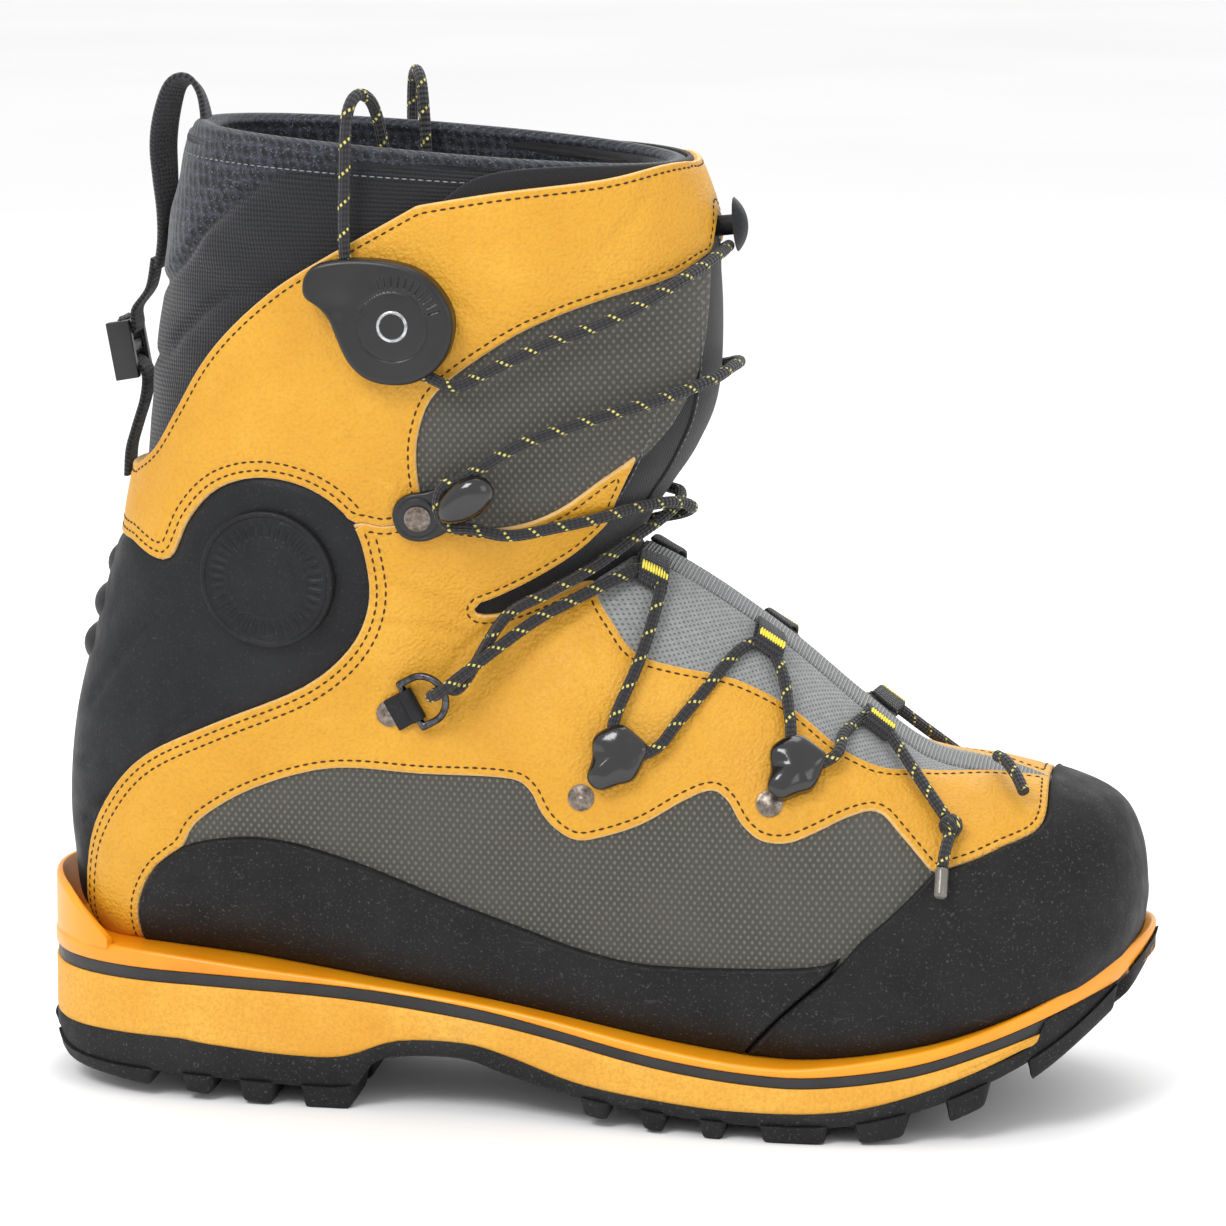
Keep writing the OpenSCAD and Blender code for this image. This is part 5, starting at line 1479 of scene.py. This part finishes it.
# ------------------------------------------------------------------ lace hardware
def star(outline_xy, heights, rings=34, around=200):
    """Solid whose outline is seen whole from its middle. heights(x, y, edge) gives its
    top, edge being the distance to the outline. Its foot is flat."""
    p = np.asarray(outline_xy, float)
    a = np.arctan2(p[:, 1], p[:, 0])
    order = np.argsort(a)
    ang = np.linspace(-math.pi, math.pi, around, endpoint=False)
    r = np.interp(ang, a[order], np.hypot(p[:, 0], p[:, 1])[order], period=2 * math.pi)
    share = np.concatenate([[1.0, 1.0], 1 - np.linspace(0, 1, rings) ** 1.6 * 0.999])
    x = share[:, None] * r * np.cos(ang)
    y = share[:, None] * r * np.sin(ang)
    edge = (1 - share[:, None]) * r
    z = heights(x, y, edge)
    z[0] = 0.0
    z[1] = z[2] * 0.55
    verts = np.stack([x, y, z], -1).reshape(-1, 3)
    faces = grid_faces(len(share), around, wrap=True)
    faces += [list(range(around)), [(len(share) - 1) * around + j for j in range(around)][::-1]]
    return verts, faces


LOCK_OUTLINE = [[17.6, 0.7], [16.2, -6.8], [12, -12.8], [5.2, -16.6], [-2.9, -17], [-8.9, -15],
                [-13.4, -10.6], [-16.6, -3.9], [-18.8, 1.3], [-22, 5.1], [-25.6, 7.6], [-26.4, 10.5],
                [-25.4, 14.4], [-21.6, 17.5],
                [-12.5, 19], [-2, 18.6], [6.1, 16.6], [11.9, 12.6], [16, 6.8]]


def lock_top(x, y, edge):
    """Flat cap with a rounded rim, an engraved ring, short ticks and a dent by the tab."""
    z = 4.6 + 1.6 * np.sqrt(1 - (1 - np.clip(edge / 1.8, 0, 1)) ** 2)
    r, a = np.hypot(x, y), np.degrees(np.arctan2(y, x))
    z = z - 0.32 * np.exp(-((r - 10.2) / 0.3) ** 2)
    tick = np.exp(-(((a + 3.5) % 9 - 4.5) / 1.3) ** 2) * (r > 11.2) * (r < 14.8) * (a > 18) * (a < 112)
    z = z - 0.34 * tick - 0.9 * np.exp(-((x + 16.5) ** 2 + (y - 5.5) ** 2) / 14)
    return z + 0.35 * np.exp(-(r / 12) ** 4)


def placed_pair(name, place, x, verts, faces, material, nodes, bodies, slot, angle=40):
    """The same shape on the lateral and the medial side, each on its own body."""
    spot = Place(*place).at(verts)
    for part, at in ((0, spot), (1, medial_rigid(spot, x))):
        obj = make_mesh(f"{name}_{('lateral', 'medial')[part]}", at, faces, material, body=bodies[part],
                        replaces=(nodes[part],) if nodes else (), slot=slot)
        sharp(weld(obj), angle)


SIDES = ("lateral", "medial")
verts, faces = star(spline(LOCK_OUTLINE, 8, closed=True), lock_top, rings=60, around=320)
locks = [f"lace_lock_{side}" for side in SIDES]
placed_pair("lock_cap", LOCK, -51, verts + [0, 0, FLOAT], faces, MAT["plastic"], locks, locks,
            "black_plastic")

rivet_parts, pin_parts = Parts(), Parts()
ring_shape = lathe([(3.4, 6.6), (3.45, 7.5), (3.75, 7.85), (4.25, 7.85), (4.6, 7.6), (4.75, 7.1),
                    (4.7, 6.6)], 64)
pin_shape = lathe([(0.01, -1), (3.5, -1), (3.5, 7.2), (3.2, 7.4), (1.8, 7.3), (0.01, 7.25)], 56)
for flip in (lambda p, x: p, medial_rigid):
    for parts, (v, f) in ((rivet_parts, ring_shape), (pin_parts, pin_shape)):
        parts.add(flip(Place(*LOCK).at(v), -51), f)
for obj_parts, name, mat, slot in ((rivet_parts, "lock_rivet_rims", "steel", "bright_steel"),
                                   (pin_parts, "lock_rivet_pins", "plastic", "bright_steel")):
    stands_for = ("lock_rivets",) if mat == "steel" else ()
    sharp(weld(obj_parts.build(name, MAT[mat], replaces=stands_for, slot=slot)), 40)

HOOK_LEAF = [[-7.4, 0.3], [-6.2, 4.4], [-2.6, 7], [3, 8.0], [8, 10.2], [13, 11.8], [17, 10.9], [20.2, 8.4],
             [21.6, 5.6], [20.4, 3.4], [17.5, 1.2], [13, -1.5], [9, -4.0], [3, -7], [-2, -7.2], [-5.8, -4.8]]


def leaf_top(x, y, edge):
    z = 1.0 + 0.8 * np.sqrt(1 - (1 - np.clip(edge / 1.4, 0, 1)) ** 2)
    return z - 0.35 * np.exp(-((np.hypot(x, y) - 6.1) / 0.35) ** 2)


HOOK_MIDDLE = np.array([8.0, 3.0])
verts, faces = star(spline(HOOK_LEAF, 8, closed=True) - HOOK_MIDDLE, lambda x, y, e: leaf_top(
    x + HOOK_MIDDLE[0], y + HOOK_MIDDLE[1], e), rings=40, around=260)
verts = verts + [*HOOK_MIDDLE, FLOAT]
hooks = [f"cuff_hook_{side}" for side in SIDES]
placed_pair("hook_leaf", HOOK, -46, verts, faces, MAT["plastic"], hooks, hooks, "black_plastic")


def hood():
    """Glossy hood over the hook's neck: a long dome that leans over the lace."""
    rows_n, around = 26, 72
    rise = np.linspace(0, 1, rows_n)
    ang = np.arange(around) * 2 * math.pi / around
    lean = math.radians(36)
    v = []
    for t in rise:
        r = math.cos(t * math.pi / 2) ** 0.75 if t < 1 else 0.001
        x, y = 9.6 * r * np.cos(ang), 6.0 * r * np.sin(ang) * (1 + 0.16 * np.cos(ang))
        x, y = x * math.cos(lean) - y * math.sin(lean), x * math.sin(lean) + y * math.cos(lean)
        v.append(np.column_stack([x + 14.2, y + 7.2, np.full(around, 6.5 + 4.8 * math.sin(t * math.pi / 2))]))
    neck = [np.column_stack([13 + r * np.cos(ang), 6 + r * np.sin(ang), np.full(around, z)])
            for r, z in ((4.6, 1.6), (3.6, 2.6), (3.3, 5.2), (4.4, 6.2))]
    v = np.concatenate(neck + v)
    f = grid_faces(rows_n + 4, around, wrap=True)
    f += [list(range(around))[::-1], [(rows_n + 3) * around + j for j in range(around)]]
    return v, f


verts, faces = hood()
placed_pair("hook_hood", HOOK, -46, verts, faces, MAT["gloss"], None, hooks, "gloss_black_plastic")

LOOP_OUTLINE = [[-2.5, 9], [1.5, 9.4], [5.2, 6.9], [9, 3], [7.7, -1.1], [4.8, -6.5], [0.5, -8.1], [-5, -9.8],
                [-8.8, -6.5], [-7.5, -0.5], [-7.2, 5.5]]


def loop_top(x, y, edge):
    """Smooth domed cap, pinched a little towards its upper end."""
    z = 3.3 + 3.3 * np.sqrt(1 - (1 - np.clip(edge / 6.5, 0, 1)) ** 2)
    right = np.exp(-((x - 5) ** 2 + (y - 2) ** 2) / 7)
    left = np.exp(-((x + 5.5) ** 2 + (y - 1) ** 2) / 7)
    return z - 0.7 * right - 0.7 * left


verts, faces = star(spline(LOOP_OUTLINE, 8, closed=True), loop_top, rings=40, around=220)
loops = [Parts(), Parts()]
for place in LOOPS:
    spot = Place(*place).at(verts + [0, 0, 0.3])
    loops[0].add(spot, faces)
    loops[1].add(medial_rigid(spot, place[0][0]), faces)
for side, parts in zip(SIDES, loops):
    sharp(weld(parts.build(f"loops_{side}", MAT["gloss"], replaces=(f"lace_loops_{side}",),
                           slot="gloss_black_plastic")), 50)


# ------------------------------------------------------------------ inner boot
INNER_K, FOAM_T = -2.6, 6.0
SEAM_HIGH = [[-150, 224], [-120, 252], [-111, 263], [-99, 273], [-87, 280], [-63, 283], [-32, 283],
             [10, 286], [60, 290]]
SEAM_LOW = [[-150, 214], [-126, 224], [-118, 232], [-103, 244], [-88, 247], [-70, 250], [-40, 252]]
HIGH_FOLD, LOW_FOLD = crease(SEAM_HIGH, 1.5, 1.5), crease(SEAM_LOW, 1.3, 1.4)


def flare(z, angles):
    """How far the back of the collar leans out towards its rim."""
    return 5.5 * np.clip((z - 262) / 32, 0, 1) ** 1.3 * np.clip(-np.cos(angles), 0, 1) ** 1.5


def inner_boot():
    """Padded collar with two sewn-in channels, a rolled rim and the inside wall down to the footbed."""
    angles = np.linspace(-math.pi, math.pi, 421)[:-1]
    rings = [(v, INNER_K + 0.4, 0.0, 0.0) for v in np.linspace(9.0, 19.6, 190)]
    middle = INNER_K - FOAM_T / 2
    for i in range(1, 12):
        a = math.pi * i / 12
        rings.append((19.6, middle + (FOAM_T / 2 + 0.4) * math.cos(a), 3.4 * math.sin(a), 1.0))
    rings += [(v, INNER_K - FOAM_T, 0.0, 2.0) for v in np.linspace(19.6, 6.0, 150)]
    verts, uvs, paint, run, before = [], [], [], 0.0, None
    for v, k, lift, zone in rings:
        p, n = surface(v, angles, k)
        r = row(np.array(v))
        span = r[0:2] - r[2:4]
        up = np.array([-span[1], span[0]]) / np.linalg.norm(span)
        p[:, 0] += up[0] * lift
        p[:, 2] += up[1] * lift
        p[:, 0] -= flare(p[:, 2], angles)
        mesh = np.ones(len(p))
        if zone == 0.0:
            above_high = p[:, 2] - np.interp(p[:, 0], *np.array(SEAM_HIGH).T)
            mesh = np.clip(above_high / 1.5 + 0.5, 0, 1)
            soft = 1.1 * (1 - np.exp(-np.abs(above_high) / 7)) * np.clip((p[:, 2] - 190) / 30, 0, 1)
            wrinkle = (0.35 * np.sin(p[:, 2] * 0.33 + 2.2 * np.sin(angles * 3))
                       * np.sin(angles * 7 + p[:, 2] * 0.05))
            amount = HIGH_FOLD(p) + LOW_FOLD(p) + soft + wrinkle * np.clip((p[:, 2] - 200) / 20, 0, 1)
            front = np.clip(1 - (np.abs(angles) / 1.15) ** 4, 0, 1)
            p = p + n * (amount * (1 - 0.8 * front))[:, None]
        if zone == 2.0:
            p = p + n * (0.8 * np.sin(angles * 4) ** 2 * np.clip((v - 12) / 3, 0, 1))[:, None]
        s = np.concatenate([[0], np.cumsum(np.linalg.norm(np.diff(p, axis=0), axis=1))])
        run += 0.0 if before is None else np.linalg.norm(p - before, axis=1).mean()
        before = p
        verts.append(p)
        uvs.append(np.column_stack([s - s[-1] / 2, np.full(len(s), run)]))
        paint.append(mesh)
    count, around = len(rings), len(angles)
    faces = grid_faces(count, around, wrap=True)
    faces += [[(count - 1) * around + j, (count - 1) * around + (j + 1) % around, (j + 1) % around, j]
              for j in range(around)]
    obj = make_mesh("inner_boot_collar", np.concatenate(verts), faces, MAT["knit"],
                    uv=np.concatenate(uvs) * MM, paint=np.concatenate(paint),
                    replaces=("inner_boot", "inner_tongue"), slot="charcoal_mesh")
    weld(obj)
    turn = np.linspace(-math.pi, math.pi, 500)
    rim_out, n = surface(19.46, turn, INNER_K + 1.3)
    rim_out[:, 0] -= flare(rim_out[:, 2], turn)
    sew_path(rim_out, n, "light_stitch", pitch=2.4, half=0.2)
    binding, n = surface(19.55, turn, middle)
    binding[:, 0] -= flare(binding[:, 2], turn)
    lift = np.array([up[0], 0, up[1]]) * 2.2
    rolled = Parts()
    rolled.add(*tube(binding + lift, 2.6, 20))
    weld(rolled.build("collar_binding", MAT["lining"], slot="black_fabric"))


inner_boot()


# ------------------------------------------------------------------ CAD pieces that keep their shape
def cad(node, material, width=0.0, segments=3, angle=30):
    """Keeps a CAD node, with a procedural material and softened edges."""
    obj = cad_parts[node]
    obj.data.materials.clear()
    obj.data.materials.append(MAT[material])
    obj.data.polygons.foreach_set("use_smooth", [True] * len(obj.data.polygons))
    w = obj.modifiers.new("weld", "WELD")
    w.merge_threshold = 0.00002
    if width:
        b = obj.modifiers.new("bevel", "BEVEL")
        b.width = width * MM
        b.segments = segments
        b.limit_method = "ANGLE"
        b.angle_limit = math.radians(angle)
        b.harden_normals = True
    return obj


for node, material, width in (
        ("footbed", "felt", 0.0), ("lasting_board", "board", 0.0), ("shank", "plastic", 0.0),
        ("rear_buckle", "plastic", 0.7), ("hook_rivets", "gunmetal", 0.15), ("d_ring_lateral", "wire", 0.0),
        ("d_ring_medial", "wire", 0.0), ("ring_keepers", "moulded", 0.35),
        ("rivets_lateral", "gunmetal", 0.15),
        ("rivets_medial", "gunmetal", 0.15), ("front_keeper", "moulded", 0.3)):
    cad(node, material, width)

for key, parts in THREADS.items():
    weld(parts.build(f"{key}_threads", MAT[key]))


# ------------------------------------------------------------------ camera, floor and light
CAMERA_AZIMUTH, CAMERA_ELEVATION = 8.5, 11.0
CAMERA_DISTANCE, CAMERA_TARGET = 1.458, Vector((0.0045, 0.0, 0.145))
LENS = 142.7


def camera():
    a, e = math.radians(CAMERA_AZIMUTH), math.radians(CAMERA_ELEVATION)
    back = Vector((math.sin(a) * math.cos(e), -math.cos(a) * math.cos(e), math.sin(e)))
    data = bpy.data.cameras.new("camera")
    data.sensor_width = 36.0
    data.lens = LENS
    data.clip_start, data.clip_end = 0.05, 30
    cam = bpy.data.objects.new("camera", data)
    bpy.context.scene.collection.objects.link(cam)
    cam.location = CAMERA_TARGET + back * CAMERA_DISTANCE
    cam.rotation_mode = "QUATERNION"
    cam.rotation_quaternion = (-back).to_track_quat("-Z", "Y")
    bpy.context.scene.camera = cam


def softbox(name, place, size, power, target=(0, 0, 0.13)):
    data = bpy.data.lights.new(name, "AREA")
    data.energy = power
    data.size = size
    obj = bpy.data.objects.new(name, data)
    bpy.context.scene.collection.objects.link(obj)
    obj.location = place
    obj.rotation_mode = "QUATERNION"
    obj.rotation_quaternion = (Vector(target) - Vector(place)).to_track_quat("-Z", "Y")


def studio():
    mesh = bpy.data.meshes.new("floor")
    s = 60.0
    mesh.from_pydata([(-s, -s, 0), (s, -s, 0), (s, s, 0), (-s, s, 0)], [], [[0, 1, 2, 3]])
    m = Look("floor_white", "#F4F4F4", 0.9)
    m.colour(m.ramp(m.noise(2.0, 2), [(0.3, "#F6F6F6"), (0.7, "#FAFAFA")]))
    mesh.materials.append(m.mat)
    floor = bpy.data.objects.new("floor", mesh)
    bpy.context.scene.collection.objects.link(floor)
    world = bpy.data.worlds.new("studio")
    world.use_nodes = True
    world.node_tree.nodes["Background"].inputs["Color"].default_value = (1, 1, 1, 1)
    world.node_tree.nodes["Background"].inputs["Strength"].default_value = 1.0
    bpy.context.scene.world = world
    bpy.context.scene.view_settings.view_transform = "Standard"
    softbox("key", (-0.6, -1.2, 1.5), 0.7, 17)
    softbox("fill", (1.3, -1.0, 0.7), 0.8, 3)
    softbox("top", (0.1, 0.3, 1.7), 0.9, 7)
    softbox("back", (0.2, 1.3, 0.9), 1.0, 4)


camera()
studio()
